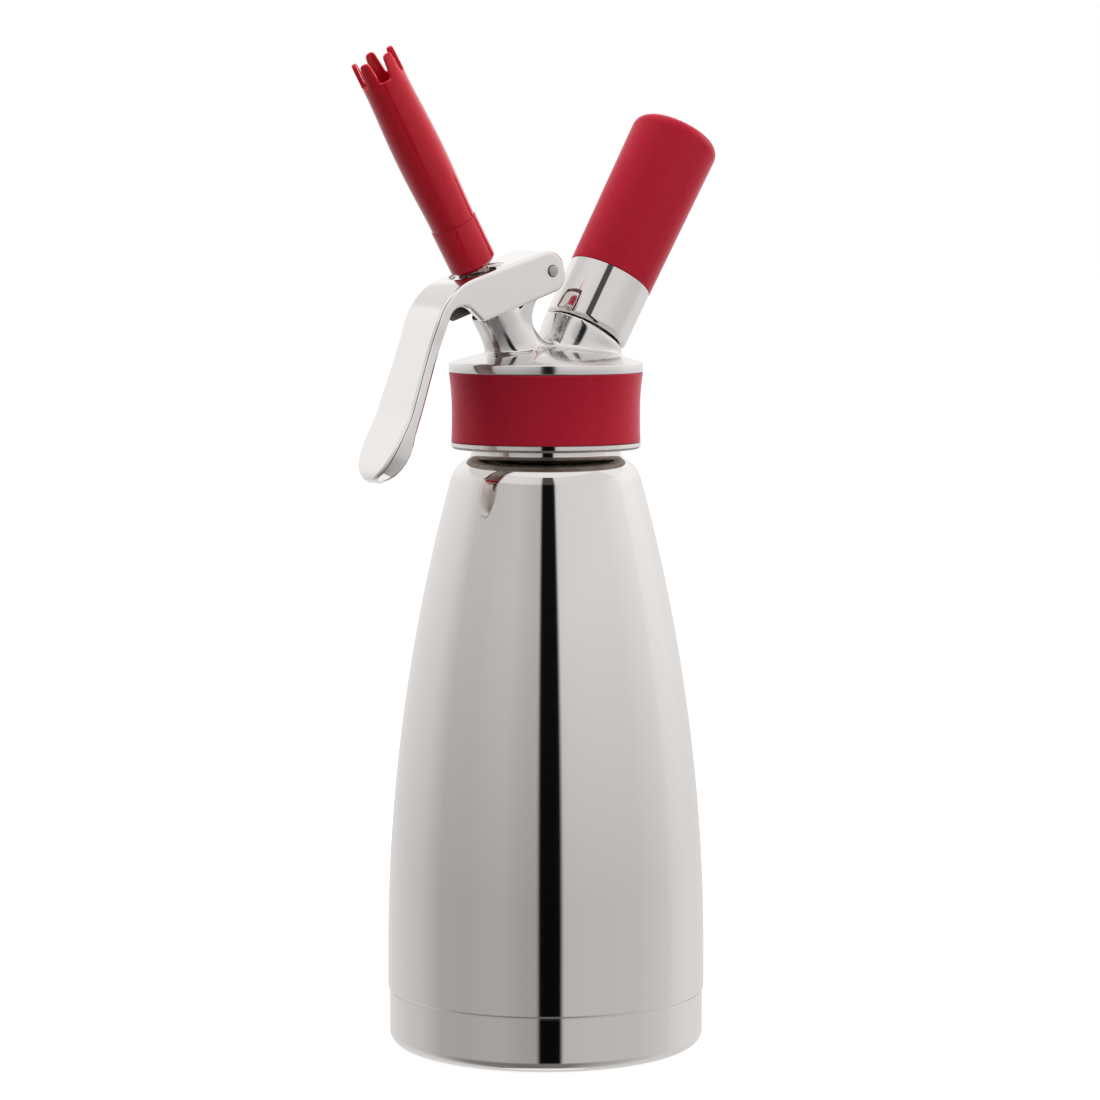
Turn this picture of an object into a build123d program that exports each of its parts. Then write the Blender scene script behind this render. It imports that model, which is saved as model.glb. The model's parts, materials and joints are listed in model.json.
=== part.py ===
from build123d import *
import os
from math import cos, pi, radians, sin

os.makedirs("parts", exist_ok=True)

# A thermal whipped cream dispenser: a double-walled steel bottle, a screw-on head with a dispensing
# valve and squeeze lever leaning towards -X, and a gas charger holder leaning towards +X.
# Millimetres, +Z up, origin at the middle of the face that the bottle stands on.

# ------------------------------------------------------------------ driving dimensions

# Clearances and small edges
press_gap = 0.05                 # between pieces that are pressed, welded or cast together
face_gap = 0.1                   # between a seal and the face that it lies on
run_gap = 0.06                   # radial, of the hinge pin in the lever and the stem in its bush
thread_gap = 0.35                # radial, between a screw's crest and its nut's root
edge_break = 0.4                 # edges of small turned and moulded pieces

# Screw threads
tooth_share = 0.47               # tooth width at its root, as a share of the pitch
crest_share = 0.24               # tooth width at its crest
tooth_bite = 0.15                # how far a tooth's root reaches into its screw or nut
nut_turns_less = 0.8             # a nut's thread is this much shorter than its screw's
neck_pitch = 4.0
neck_turns = 3.0
neck_thread_rise = 2.6           # from the neck weld to the thread's start
stud_pitch = 2.5
stud_turns = 2.2
stud_thread_rise = 1.3
stem_pitch = 2.0
stem_turns = 3.0

# Bottle, heights from the standing face up
cup_height = 17.55
cup_seam = 0.35                  # open seam between the base cup and the shell
belly_height = 11.1              # straight part of the side
flank_height = 159.7             # one long arc carries the side in to the shoulder
shoulder_rise = 3.62
neck_height = 3.68
ring_height = 18.0

# Bottle, radii and walls
shell_radius = 51.9
shell_wall = 0.9
shoulder_width = 5.57            # from the neck out to the end of the flank
shoulder_round = 11.0
neck_round = 2.2
shell_lip_share = 0.45           # rounding of the shell's lower lip, as a share of its wall
cup_step = 0.5                   # the cup lies this far inside the shell's side
cup_wall = 1.0
cup_edge_round = 3.75
cup_spigot = 8.5                 # how far the cup reaches up inside the shell

plate_rise = 0.8                 # from the cup's spigot up to the vacuum plate
plate_wall = 1.0
plate_rim = 5.5
evacuation_hole_radius = 2.0
seal_disc_radius = 5.0
seal_disc_height = 1.0

vacuum_gap = 7.0                 # between the shell and the inner vessel
vessel_wall = 0.9
vessel_foot_rise = 8.8           # from the vacuum plate up to the vessel's foot
vessel_foot_round = 14.0
vessel_belly_height = 15.0
vessel_shoulder_drop = 6.7       # the vessel's flank ends this far below the shell's
vessel_shoulder_width = 2.34
vessel_neck_drop = 0.7
vessel_neck_radius = 22.0

ring_wall = 1.3
ring_step = 0.1                  # the thread's root lies this far inside the neck
ring_thread_depth = 1.1
ring_spigot = 3.5                # how far the ring reaches down inside the neck
ring_bevel = 0.6

# Head
lip_drop = 1.2                   # the lip hangs this far below the neck weld
lip_step = 2.0                   # and stands this far proud of the grip's seat
lip_height = 2.0
lip_bevel = 0.8
lead_in = 1.4                    # bevel at the mouth of the skirt
skirt_wall = 3.25
flange_rise = 5.5                # from the bottle's mouth up to the flange
flange_step = 2.6
flange_height = 3.0
dome_rise = 5.3
gasket_height = 2.5
gasket_relief = 0.3              # the gasket's bore is wider than the mouth by this much
gasket_gap = 0.45
chamber_radius = 16.0
chamber_height = 4.0
casting_floor = 1.6              # least metal over the chamber

grip_wall = 1.65
grip_foot_swell = 0.2
grip_flare = 1.0
grip_flare_ease = 0.15
grip_waist_height = 8.0
grip_flare_start = 15.0

# Branch axes of the head
lean = 30.0                      # angle of both branch axes from the vertical, degrees
axes_depth = 13.5                # the axes meet this far below the flange

# Dispensing valve, along the valve axis; stations are distances from where the axes cross
stem_radius = 4.0
stem_bore_radius = 2.2
stem_thread_depth = 0.7
stem_root_radius = 3.4
thread_relief = 0.45
stem_head_width = 1.8            # the stem's foot is wider than the stem by this much all round
stem_head_height = 2.4
stem_port_radius = 1.3
stem_port_rise = 0.6
valve_seat = 19.8
valve_port_gap = 0.8             # room round the stem's foot
valve_seal_height = 2.2
guide_length = 14.2              # depth of the bore for the O-ring and the bush
o_ring_width = 2.0
o_ring_height = 1.7
o_ring_round = 0.7
bush_overlap = 1.0
bush_flange_height = 1.1
valve_boss_wall = 2.2
valve_boss_flare = 1.6           # the boss is wider at its foot by this much all round
valve_boss_straight = 7.2        # straight part below its top
valve_rim_round = 0.6
push_nut_step = 1.0              # the nut lies this far inside the boss's side
push_nut_drop = 7.02             # from the lever's top down to the nut
push_nut_height = 3.0
spring_room = 6.2                # from the boss to the nut
spring_wire_radius = 0.4
spring_wire_gap = 0.5
spring_turns = 2.2

# Lever
pin_shift = 4.39                 # pin centre to the bottle axis
pin_rise = 46.18                 # pin centre above the crossing of the axes
pin_radius = 1.75
ear_wall = 2.45
ear_gap = 0.44
web_step = 0.6                   # the web's faces lie this far inside the valve boss
web_reach = 16.0                 # half length of the web's foot
web_heel_rise = 4.5
web_arch_shift = 3.09            # arch centre from the pin, towards the charger
web_arch_drop = 14.58
web_arch_radius = 8.8
web_shoulder_reach = 8.2
web_shoulder_drop = 8.6
web_root_depth = 5.6             # below the valve boss's top
lever_wall = 2.0
cheek_gap = 0.3                  # between the lever's cheeks and the valve boss
lever_rise = 17.1                # slope of the lever's flat top, degrees
lever_root_reach = 5.0           # pin centre to the lever's root end
lever_root_round = 5.6
bend_reach = 39.71               # pin centre to the bend
bend_round = 22.0
handle_lean = 70.5               # slope of the handle's front, degrees
handle_height = 40.5             # bend to kick
kick_slope = 61.5                # slope of the grip end's front, degrees
kick_round = 30.0
grip_end_height = 19.2           # kick to foot
grip_end_thickness = 6.4
grip_end_rise = 1.0
grip_end_length = 6.5
grip_end_ease = 0.9
grip_end_round_share = 0.62      # where the rounded end leaves the sides, as a share of the half width
grip_end_round_rise = 2.6
handle_thickness = 4.2
handle_waist = 0.5               # the handle narrows by this much on each side below the bend
waist_drop = 16.9
grip_swell = 0.6                 # and is this much broader on each side at the grip end
grip_swell_drop = 4.0
arch_drop = 3.11                 # below the bend, where the cheek meets the handle's back
arch_ease = 0.79
arch_round = 4.5
hook_length = 9.3                # the cheek's hook, from the arch
hook_drop = 7.9
hook_round = 1.2
stem_hole_gap = 2.2              # round the stem
dimple_margin = 1.3              # beside the dimple
dimple_depth = 0.8
nose_radius = 2.0
nose_gap = 0.3

# Decorator tip
collar_rise = 2.78               # from the lever's top to the collar
collar_wall = 2.0
collar_bevel = 1.0
collar_height = 14.4
collar_groove_depth = 0.6
collar_groove_height = 0.9
insert_wall = 1.15
insert_rise = 0.2
insert_length = 10.2
stem_thread_reach = 1.4          # from the collar's foot to the stem's thread
stem_reach = 8.8                 # from the collar's foot to the stem's top
insert_thread_offset = 1.8       # from the stem's thread to the insert's
washer_height = 1.4
washer_relief = 0.1
tube_step = 0.2                  # the tube's foot lies this far inside the collar
tube_belly = 0.5
tube_narrowing = 0.2
tube_belly_share = 0.52
tube_height = 52.2
tube_wall = 1.35
tube_throat_height = 4.0
tine_height = 7.6
tine_taper = 0.1
tine_count = 5
tine_phase = -7.0
tine_tip_height = 1.4
tine_tip_round = 2.2
tine_crown = 0.2                 # the slots' outlines only meet this far above the tines
slot_foot_width = 3.4
slot_mouth_width = 5.6
slot_foot_round = 1.1
slot_overcut = 1.5

# Charger holder, along the charger axis
cartridge_radius = 9.3           # a standard 8 g cream charger, 18.6 mm by 65 mm
cartridge_length = 65.0
cartridge_neck_radius = 4.3
cartridge_neck_length = 8.0
cartridge_shoulder = 9.5
cartridge_wall = 1.4
cartridge_gap = 0.35
seal_cap_height = 0.7
holder_tube_wall = 2.65
holder_step = 1.7                # the holder's foot is this much larger than its tube
holder_foot_gap = 0.4
holder_height = 19.9
holder_end_wall = 0.9
holder_edge_round = 1.6
holder_tube_round = 1.5
nut_relief = 0.5
sleeve_step = 0.1
sleeve_taper = 0.75
sleeve_end_wall = 1.3
sleeve_edge_round = 4.5
sleeve_crown = 0.8
charger_boss_step = 0.1          # the boss lies this far inside the holder's side
charger_boss_taper = 1.0
charger_boss_flare_start = 20.0
charger_boss_rim = 1.0
charger_boss_top = 30.3
stud_crest_gap = 0.15
stud_thread_depth = 1.2
stud_socket_step = 1.3
stud_socket_depth = 6.3
stud_height = 7.7
gas_duct_radius = 1.2
pierce_radius = 1.5
pierce_point_radius = 0.85
pierce_tip_radius = 0.25
pierce_tip_length = 1.2
pierce_taper = 0.4
pierce_seat = 7.0                # depth of the piercing pin in the stud
pierce_depth = 3.2               # and its reach into the charger
charger_seal_height = 0.95
charger_seal_margin = 3.0

# ------------------------------------------------------------------ heights and radii that follow

shell_foot_z = cup_height + cup_seam
belly_top_z = shell_foot_z + belly_height
shoulder_z = belly_top_z + flank_height
neck_corner_z = shoulder_z + shoulder_rise
neck_weld_z = neck_corner_z + neck_height
ring_top_z = neck_weld_z + ring_height
plate_z = shell_foot_z + cup_spigot + plate_rise
vessel_foot_z = plate_z + plate_wall + vessel_foot_rise
vessel_belly_z = vessel_foot_z + vessel_belly_height
gasket_z = ring_top_z + face_gap
ceiling_z = gasket_z + gasket_height + face_gap
lip_z = neck_weld_z - lip_drop
flange_z = ring_top_z + flange_rise
axes_cross_z = flange_z - axes_depth

ring_bore_radius = vessel_neck_radius + press_gap
ring_spigot_radius = ring_bore_radius + ring_wall
neck_radius = ring_spigot_radius + press_gap + shell_wall
ring_root_radius = neck_radius - ring_step
ring_crest_radius = ring_root_radius + ring_thread_depth
nut_root_radius = ring_crest_radius + thread_gap
nut_crest_radius = ring_root_radius + thread_gap
grip_seat_radius = nut_root_radius + skirt_wall
lip_radius = grip_seat_radius + lip_step
flange_radius = grip_seat_radius + flange_step

stem_head_radius = stem_radius + stem_head_width
stem_crest_radius = stem_root_radius + stem_thread_depth
valve_guide_radius = stem_radius + o_ring_width
valve_boss_radius = valve_guide_radius + valve_boss_wall
push_nut_radius = valve_boss_radius - push_nut_step
web_half_width = valve_boss_radius - web_step
cheek_inner = valve_boss_radius + cheek_gap
lever_half_width = cheek_inner + lever_wall
stem_hole_radius = stem_radius + stem_hole_gap
dimple_radius = lever_half_width - dimple_margin
ear_radius = pin_radius + ear_wall
lever_root_height = ear_radius + ear_gap + lever_wall
pin_x = -pin_shift
pin_z = axes_cross_z + pin_rise

holder_bore_radius = cartridge_radius + cartridge_gap
holder_tube_radius = holder_bore_radius + holder_tube_wall
holder_radius = holder_tube_radius + holder_step
charger_boss_radius = holder_radius - charger_boss_step
holder_nut_crest = holder_bore_radius + stud_crest_gap
stud_root_radius = holder_nut_crest - stud_crest_gap - thread_gap
stud_crest_radius = stud_root_radius + stud_thread_depth
stud_socket_radius = stud_root_radius - stud_socket_step
stud_top = charger_boss_top + stud_height

# ------------------------------------------------------------------ axes and planes

valve_dir = Vector(-sin(radians(lean)), 0, cos(radians(lean)))
charger_dir = Vector(sin(radians(lean)), 0, cos(radians(lean)))
axes_cross = Vector(0, 0, axes_cross_z)
valve_axis = Axis(axes_cross, valve_dir)
charger_axis = Axis(axes_cross, charger_dir)

# Section planes: local x is the distance from the axis, local y the station along it
valve_section = Plane(origin=axes_cross, x_dir=(cos(radians(lean)), 0, sin(radians(lean))),
                      z_dir=(0, -1, 0))
charger_section = Plane(origin=axes_cross, x_dir=(cos(radians(lean)), 0, -sin(radians(lean))),
                        z_dir=(0, -1, 0))


def valve_plane(station):
    """Plane square to the valve axis at a station along it."""
    return Plane(origin=axes_cross + valve_dir * station, x_dir=valve_section.x_dir, z_dir=valve_dir)


def charger_plane(station):
    """Plane square to the charger axis at a station along it."""
    return Plane(origin=axes_cross + charger_dir * station, x_dir=charger_section.x_dir, z_dir=charger_dir)


def thread_tooth(plane, root_radius, crest_radius, pitch, turns):
    """One helical tooth up the plane's normal: a screw's, or a nut's where the crest lies inside the root."""
    depth = crest_radius - root_radius
    bite = tooth_bite if depth > 0 else -tooth_bite
    with BuildPart(mode=Mode.PRIVATE) as tooth:
        with BuildLine() as winding:
            Helix(pitch=pitch, height=pitch * turns, radius=root_radius, center=plane.origin,
                  direction=plane.z_dir)
        start = winding.line @ 0
        outward = (start - plane.origin).normalized()
        with BuildSketch(Plane(origin=start, x_dir=outward, z_dir=winding.line % 0)):
            with BuildLine():
                Polyline((-bite, -pitch * tooth_share / 2), (depth, -pitch * crest_share / 2),
                         (depth, pitch * crest_share / 2), (-bite, pitch * tooth_share / 2), close=True)
            make_face()
        sweep(path=winding.line, is_frenet=True)
    return tooth.part


def finish(piece, name):
    """Names a finished piece and writes its file."""
    piece.part.label = name
    export_step(piece.part, f"parts/{name}.step")


# The lever's side view, in x and z: directions along its top, handle and grip end, and their corners
pin_point = Vector(pin_x, pin_z)
rise_dir = Vector(cos(radians(lever_rise)), sin(radians(lever_rise)))
rise_normal = Vector(-rise_dir.Y, rise_dir.X)
handle_dir = Vector(cos(radians(handle_lean)), sin(radians(handle_lean)))
kick_dir = Vector(cos(radians(kick_slope)), sin(radians(kick_slope)))
top_point = pin_point + rise_normal * lever_root_height
bend = top_point + rise_dir * ((pin_x - bend_reach - top_point.X) / rise_dir.X)
kick = bend - handle_dir * (handle_height / handle_dir.Y)
foot = kick - kick_dir * (grip_end_height / kick_dir.Y)

# Stations along the valve axis that follow from the lever's top
lever_top = ((top_point - Vector(0, axes_cross_z)).dot(rise_normal)
             / Vector(valve_dir.X, valve_dir.Z).dot(rise_normal))
push_nut_start = lever_top - push_nut_drop
valve_boss_top = push_nut_start - spring_room
valve_guide_start = valve_boss_top - guide_length
collar_foot = lever_top + collar_rise
collar_top = collar_foot + collar_height
stem_thread_start = collar_foot + stem_thread_reach
stem_top = collar_foot + stem_reach

# ------------------------------------------------------------------ bottle

shell_inner_radius = shell_radius - shell_wall
with BuildPart() as outer_shell:
    with BuildSketch(Plane.XZ) as shell_profile:
        with BuildLine():
            side = Line((shell_radius, shell_foot_z), (shell_radius, belly_top_z))
            flank = TangentArc(side @ 1, (neck_radius + shoulder_width, shoulder_z), tangent=(0, 1))
            Polyline(flank @ 1, (neck_radius, neck_corner_z), (neck_radius, neck_weld_z), (0, neck_weld_z),
                     (0, shell_foot_z), side @ 0)
        make_face()
        shoulder_corner = shell_profile.vertices().sort_by_distance(flank @ 1)[0]
        fillet(shoulder_corner, radius=shoulder_round)
        neck_corner = shell_profile.vertices().sort_by_distance((neck_radius, neck_corner_z))[0]
        fillet(neck_corner, radius=neck_round)
    revolve(axis=Axis.Z)
    ends = outer_shell.faces().filter_by(GeomType.PLANE).sort_by(Axis.Z)
    offset(amount=-shell_wall, openings=[ends[0], ends[-1]])
    lower_lip = outer_shell.edges().group_by(Axis.Z)[0].sort_by(SortBy.RADIUS)[-1]
    fillet(lower_lip, radius=shell_wall * shell_lip_share)
finish(outer_shell, "outer_shell")

cup_radius = shell_radius - cup_step
spigot_radius = shell_inner_radius - press_gap
with BuildPart() as base_cup:
    with BuildSketch(Plane.XZ) as cup_profile:
        with BuildLine():
            Polyline((0, 0), (cup_radius, 0), (cup_radius, cup_height), (spigot_radius, cup_height),
                     (spigot_radius, shell_foot_z + cup_spigot),
                     (spigot_radius - cup_wall, shell_foot_z + cup_spigot),
                     (spigot_radius - cup_wall, cup_height - cup_wall),
                     (cup_radius - cup_wall, cup_height - 2 * cup_wall), (cup_radius - cup_wall, cup_wall),
                     (0, cup_wall), close=True)
        make_face()
        outer_corner = cup_profile.vertices().sort_by_distance((cup_radius, 0))[0]
        fillet(outer_corner, radius=cup_edge_round)
        inner_corner = cup_profile.vertices().sort_by_distance((cup_radius - cup_wall, cup_wall))[0]
        fillet(inner_corner, radius=cup_edge_round - cup_wall)
    revolve(axis=Axis.Z)
finish(base_cup, "base_cup")

plate_radius = shell_inner_radius - press_gap
with BuildPart() as vacuum_base_plate:
    with BuildSketch(Plane.XY.offset(plate_z)):
        Circle(plate_radius)
    extrude(amount=plate_wall + plate_rim)
    with BuildSketch(Plane.XY.offset(plate_z + plate_wall)):
        Circle(plate_radius - plate_wall)
    extrude(amount=plate_rim, mode=Mode.SUBTRACT)
    with BuildSketch(Plane.XY.offset(plate_z)):
        Circle(evacuation_hole_radius)
    extrude(amount=plate_wall, mode=Mode.SUBTRACT)
finish(vacuum_base_plate, "vacuum_base_plate")

with BuildPart() as evacuation_seal:
    with BuildSketch(Plane.XY.offset(plate_z - seal_disc_height)):
        Circle(seal_disc_radius)
    extrude(amount=seal_disc_height)
    with BuildSketch(Plane.XY.offset(plate_z)):
        Circle(evacuation_hole_radius - press_gap)
    extrude(amount=plate_wall)
finish(evacuation_seal, "evacuation_seal")

vessel_radius = shell_inner_radius - vacuum_gap
vessel_shoulder_z = shoulder_z - vessel_shoulder_drop
vessel_neck_z = shoulder_z - vessel_neck_drop
with BuildPart() as inner_vessel:
    with BuildSketch(Plane.XZ) as vessel_profile:
        with BuildLine():
            wall_line = Line((vessel_radius, vessel_foot_z), (vessel_radius, vessel_belly_z))
            vessel_flank = TangentArc(wall_line @ 1,
                                      (vessel_neck_radius + vessel_shoulder_width, vessel_shoulder_z),
                                      tangent=(0, 1))
            Polyline(vessel_flank @ 1, (vessel_neck_radius, vessel_neck_z), (vessel_neck_radius, ring_top_z),
                     (0, ring_top_z), (0, vessel_foot_z), wall_line @ 0)
        make_face()
        foot_corner = vessel_profile.vertices().sort_by_distance(wall_line @ 0)[0]
        fillet(foot_corner, radius=vessel_foot_round)
    revolve(axis=Axis.Z)
    mouth = inner_vessel.faces().filter_by(GeomType.PLANE).sort_by(Axis.Z)[-1]
    offset(amount=-vessel_wall, openings=mouth)
finish(inner_vessel, "inner_vessel")

ring_foot_z = neck_weld_z - ring_spigot
neck_thread_z = neck_weld_z + neck_thread_rise
neck_thread = thread_tooth(Plane.XY.offset(neck_thread_z), ring_root_radius, ring_crest_radius,
                           neck_pitch, neck_turns)
with BuildPart() as neck_ring:
    with BuildSketch(Plane.XY.offset(neck_weld_z)):
        Circle(ring_root_radius)
    extrude(amount=ring_height)
    chamfer(neck_ring.edges().group_by(Axis.Z)[-1], length=ring_bevel)
    with BuildSketch(Plane.XY.offset(ring_foot_z)):
        Circle(ring_spigot_radius)
    extrude(amount=ring_spigot)
    with BuildSketch(Plane.XY.offset(ring_foot_z)):
        Circle(ring_bore_radius)
    extrude(amount=ring_spigot + ring_height, mode=Mode.SUBTRACT)
    add(neck_thread)
finish(neck_ring, "neck_ring")

# ------------------------------------------------------------------ head

with BuildPart() as head_gasket:
    with BuildSketch(Plane.XY.offset(gasket_z)):
        Circle(nut_root_radius - gasket_gap)
        Circle(vessel_neck_radius - vessel_wall + gasket_relief, mode=Mode.SUBTRACT)
    extrude(amount=gasket_height)
    fillet(head_gasket.edges().filter_by(GeomType.CIRCLE), radius=edge_break)
finish(head_gasket, "head_gasket")

dome_edge_z = flange_z + flange_height
dome_top_z = dome_edge_z + dome_rise
dome_radius = (flange_radius ** 2 + dome_rise ** 2) / (2 * dome_rise)
chamber_top_z = ceiling_z + chamber_height
casting_foot_z = chamber_top_z + casting_floor / 2
web_heel_z = casting_foot_z + web_heel_rise
web_arch_x = pin_x + web_arch_shift
web_arch_z = pin_z - web_arch_drop
web_shoulder = (pin_x - web_shoulder_reach, pin_z - web_shoulder_drop)
web_root = axes_cross + valve_dir * (valve_boss_top - web_root_depth)

head_thread = thread_tooth(Plane.XY.offset(neck_thread_z + neck_pitch / 2), nut_root_radius, nut_crest_radius,
                           neck_pitch, neck_turns - nut_turns_less)

with BuildPart() as head_body:
    # valve boss
    with BuildSketch(valve_section):
        with BuildLine():
            Polyline((0, 0), (valve_boss_radius + valve_boss_flare, 0),
                     (valve_boss_radius + valve_boss_flare, valve_seat),
                     (valve_boss_radius, valve_boss_top - valve_boss_straight),
                     (valve_boss_radius, valve_boss_top), (0, valve_boss_top), close=True)
        make_face()
    revolve(axis=valve_axis)
    valve_rim = head_body.edges().filter_by(GeomType.CIRCLE).sort_by(valve_axis)[-1]
    fillet(valve_rim, radius=valve_rim_round)
    # charger boss
    with BuildSketch(charger_section):
        with BuildLine():
            Polyline((0, 0), (charger_boss_radius - charger_boss_taper, 0),
                     (charger_boss_radius - charger_boss_taper, charger_boss_flare_start),
                     (charger_boss_radius, charger_boss_top - charger_boss_rim),
                     (charger_boss_radius, charger_boss_top), (0, charger_boss_top), close=True)
        make_face()
    revolve(axis=charger_axis)
    # web between the bosses, rising to the ear that carries the hinge pin
    with BuildSketch(Plane.XZ):
        with BuildLine():
            Polyline((-web_reach, casting_foot_z), (web_reach, casting_foot_z), (web_reach, web_heel_z),
                     (web_arch_x, web_arch_z), (pin_x + ear_radius, pin_z), (pin_x - ear_radius, pin_z),
                     web_shoulder, (web_root.X, web_root.Z), close=True)
        make_face()
        with Locations((web_arch_x, web_arch_z)):
            Circle(web_arch_radius, mode=Mode.SUBTRACT)
        with Locations((pin_x, pin_z)):
            Circle(ear_radius)
    extrude(amount=web_half_width, both=True)
    split(bisect_by=Plane.XY.offset(casting_foot_z), keep=Keep.TOP)
    # domed cap and threaded skirt
    with BuildSketch(Plane.XZ):
        with BuildLine():
            dome = RadiusArc((flange_radius, dome_edge_z), (0, dome_top_z), -dome_radius)
            Polyline(dome @ 1, (0, chamber_top_z), (chamber_radius, chamber_top_z),
                     (chamber_radius, ceiling_z), (nut_root_radius, ceiling_z),
                     (nut_root_radius, lip_z + lead_in),
                     (nut_root_radius + lead_in, lip_z), (lip_radius - lip_bevel, lip_z),
                     (lip_radius, lip_z + lip_bevel), (lip_radius, lip_z + lip_height),
                     (grip_seat_radius, lip_z + lip_height), (grip_seat_radius, flange_z),
                     (flange_radius, flange_z), dome @ 0)
        make_face()
    revolve(axis=Axis.Z)
    # bores of the valve, the charger stud, the gas duct and the hinge pin
    with BuildSketch(valve_plane(0)):
        Circle(stem_head_radius + valve_port_gap)
    extrude(amount=valve_seat, mode=Mode.SUBTRACT)
    with BuildSketch(valve_plane(valve_seat)):
        Circle(stem_radius + run_gap)
    extrude(amount=valve_boss_top, mode=Mode.SUBTRACT)
    with BuildSketch(valve_plane(valve_guide_start)):
        Circle(valve_guide_radius)
    extrude(amount=valve_boss_top, mode=Mode.SUBTRACT)
    with BuildSketch(charger_plane(charger_boss_top - stud_socket_depth)):
        Circle(stud_socket_radius)
    extrude(amount=stud_socket_depth, mode=Mode.SUBTRACT)
    with BuildSketch(charger_plane(ceiling_z - axes_cross_z)):
        Circle(gas_duct_radius)
    extrude(amount=charger_boss_top, mode=Mode.SUBTRACT)
    with BuildSketch(Plane.XZ):
        with Locations((pin_x, pin_z)):
            Circle(pin_radius + press_gap)
    extrude(amount=web_half_width, both=True, mode=Mode.SUBTRACT)
    add(head_thread)
finish(head_body, "head_body")

grip_foot_z = lip_z + lip_height + press_gap
grip_top_z = flange_z - press_gap
grip_waist_radius = grip_seat_radius + grip_wall
with BuildPart() as grip_collar:
    with BuildSketch(Plane.XZ):
        with BuildLine():
            grip_side = Spline((grip_waist_radius + grip_foot_swell, grip_foot_z),
                               (grip_waist_radius, grip_foot_z + grip_waist_height),
                               (grip_waist_radius + grip_flare_ease, grip_foot_z + grip_flare_start),
                               (grip_waist_radius + grip_flare, grip_top_z))
            Polyline(grip_side @ 1, (grip_seat_radius + press_gap, grip_top_z),
                     (grip_seat_radius + press_gap, grip_foot_z), grip_side @ 0)
        make_face()
    revolve(axis=Axis.Z)
finish(grip_collar, "grip_collar")

with BuildPart() as lever_pin:
    with BuildSketch(Plane.XZ):
        with Locations((pin_x, pin_z)):
            Circle(pin_radius)
    extrude(amount=lever_half_width, both=True)
    fillet(lever_pin.edges().filter_by(GeomType.CIRCLE), radius=edge_break)
finish(lever_pin, "lever_pin")

# ------------------------------------------------------------------ dispensing valve

seal_foot = valve_seat - face_gap - valve_seal_height
stem_thread = thread_tooth(valve_plane(stem_thread_start + stem_pitch * crest_share), stem_root_radius,
                           stem_crest_radius, stem_pitch, stem_turns)
with BuildPart() as valve_stem:
    with BuildSketch(valve_section):
        with BuildLine():
            Polyline((0, seal_foot - stem_head_height), (stem_head_radius, seal_foot - stem_head_height),
                     (stem_head_radius, seal_foot), (stem_radius, seal_foot),
                     (stem_radius, stem_thread_start - 2 * thread_relief),
                     (stem_root_radius, stem_thread_start - thread_relief),
                     (stem_root_radius, stem_top), (0, stem_top), close=True)
        make_face()
    revolve(axis=valve_axis)
    with BuildSketch(valve_plane(seal_foot)):
        Circle(stem_bore_radius)
    extrude(amount=stem_top, mode=Mode.SUBTRACT)
    port_centre = axes_cross + valve_dir * (valve_seat + stem_port_radius + stem_port_rise)
    with BuildSketch(Plane(origin=port_centre, x_dir=valve_section.x_dir, z_dir=(0, 1, 0))):
        Circle(stem_port_radius)
    extrude(amount=stem_radius, both=True, mode=Mode.SUBTRACT)
    add(stem_thread)
finish(valve_stem, "valve_stem")

with BuildPart() as valve_seal:
    with BuildSketch(valve_plane(seal_foot)):
        Circle(stem_head_radius)
        Circle(stem_radius + press_gap, mode=Mode.SUBTRACT)
    extrude(amount=valve_seal_height)
finish(valve_seal, "valve_seal")

with BuildPart() as stem_o_ring:
    with BuildSketch(valve_section):
        with Locations((stem_radius + o_ring_width / 2, valve_guide_start + o_ring_height / 2)):
            RectangleRounded(o_ring_width - 2 * press_gap, o_ring_height - press_gap, o_ring_round)
    revolve(axis=valve_axis)
finish(stem_o_ring, "stem_o_ring")

bush_foot = valve_guide_start + o_ring_height + press_gap
with BuildPart() as valve_bush:
    with BuildSketch(valve_plane(bush_foot)):
        Circle(valve_guide_radius - press_gap)
    extrude(amount=valve_boss_top + bush_flange_height - bush_foot)
    with BuildSketch(valve_plane(valve_boss_top + press_gap)):
        Circle(valve_guide_radius + bush_overlap)
    extrude(amount=bush_flange_height - press_gap)
    with BuildSketch(valve_plane(bush_foot)):
        Circle(stem_radius + run_gap)
    extrude(amount=valve_boss_top, mode=Mode.SUBTRACT)
finish(valve_bush, "valve_bush")

with BuildPart() as push_nut:
    with BuildSketch(valve_plane(push_nut_start)):
        Circle(push_nut_radius)
        Circle(stem_radius + press_gap, mode=Mode.SUBTRACT)
    extrude(amount=push_nut_height)
    nut_rims = push_nut.edges().filter_by(GeomType.CIRCLE).sort_by(SortBy.RADIUS)[-2:]
    chamfer(nut_rims, length=edge_break)
finish(push_nut, "push_nut")

spring_foot = valve_boss_top + bush_flange_height + spring_wire_radius + face_gap
spring_height = push_nut_start - spring_wire_radius - face_gap - spring_foot
spring_radius = stem_radius + spring_wire_gap + spring_wire_radius
with BuildPart() as valve_spring:
    with BuildLine() as spring_wire:
        Helix(pitch=spring_height / spring_turns, height=spring_height, radius=spring_radius,
              center=axes_cross + valve_dir * spring_foot, direction=valve_dir)
    with BuildSketch(Plane(origin=spring_wire.line @ 0, z_dir=spring_wire.line % 0)):
        Circle(spring_wire_radius)
    sweep(path=spring_wire.line, is_frenet=True)
finish(valve_spring, "valve_spring")

# ------------------------------------------------------------------ lever


def handle_front(inset):
    """Root, bend, kick and foot of the line that lies a given depth inside the lever's outer face."""
    def inside(corner, before, after):
        inward = Vector(before.Y, -before.X) + Vector(after.Y, -after.X)
        return corner + inward * (inset / (1 + before.dot(after)))

    root = top_point - rise_normal * inset + rise_dir * lever_root_reach
    return [root, inside(bend, rise_dir, handle_dir), inside(kick, handle_dir, kick_dir),
            inside(foot, kick_dir, kick_dir)]


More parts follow.
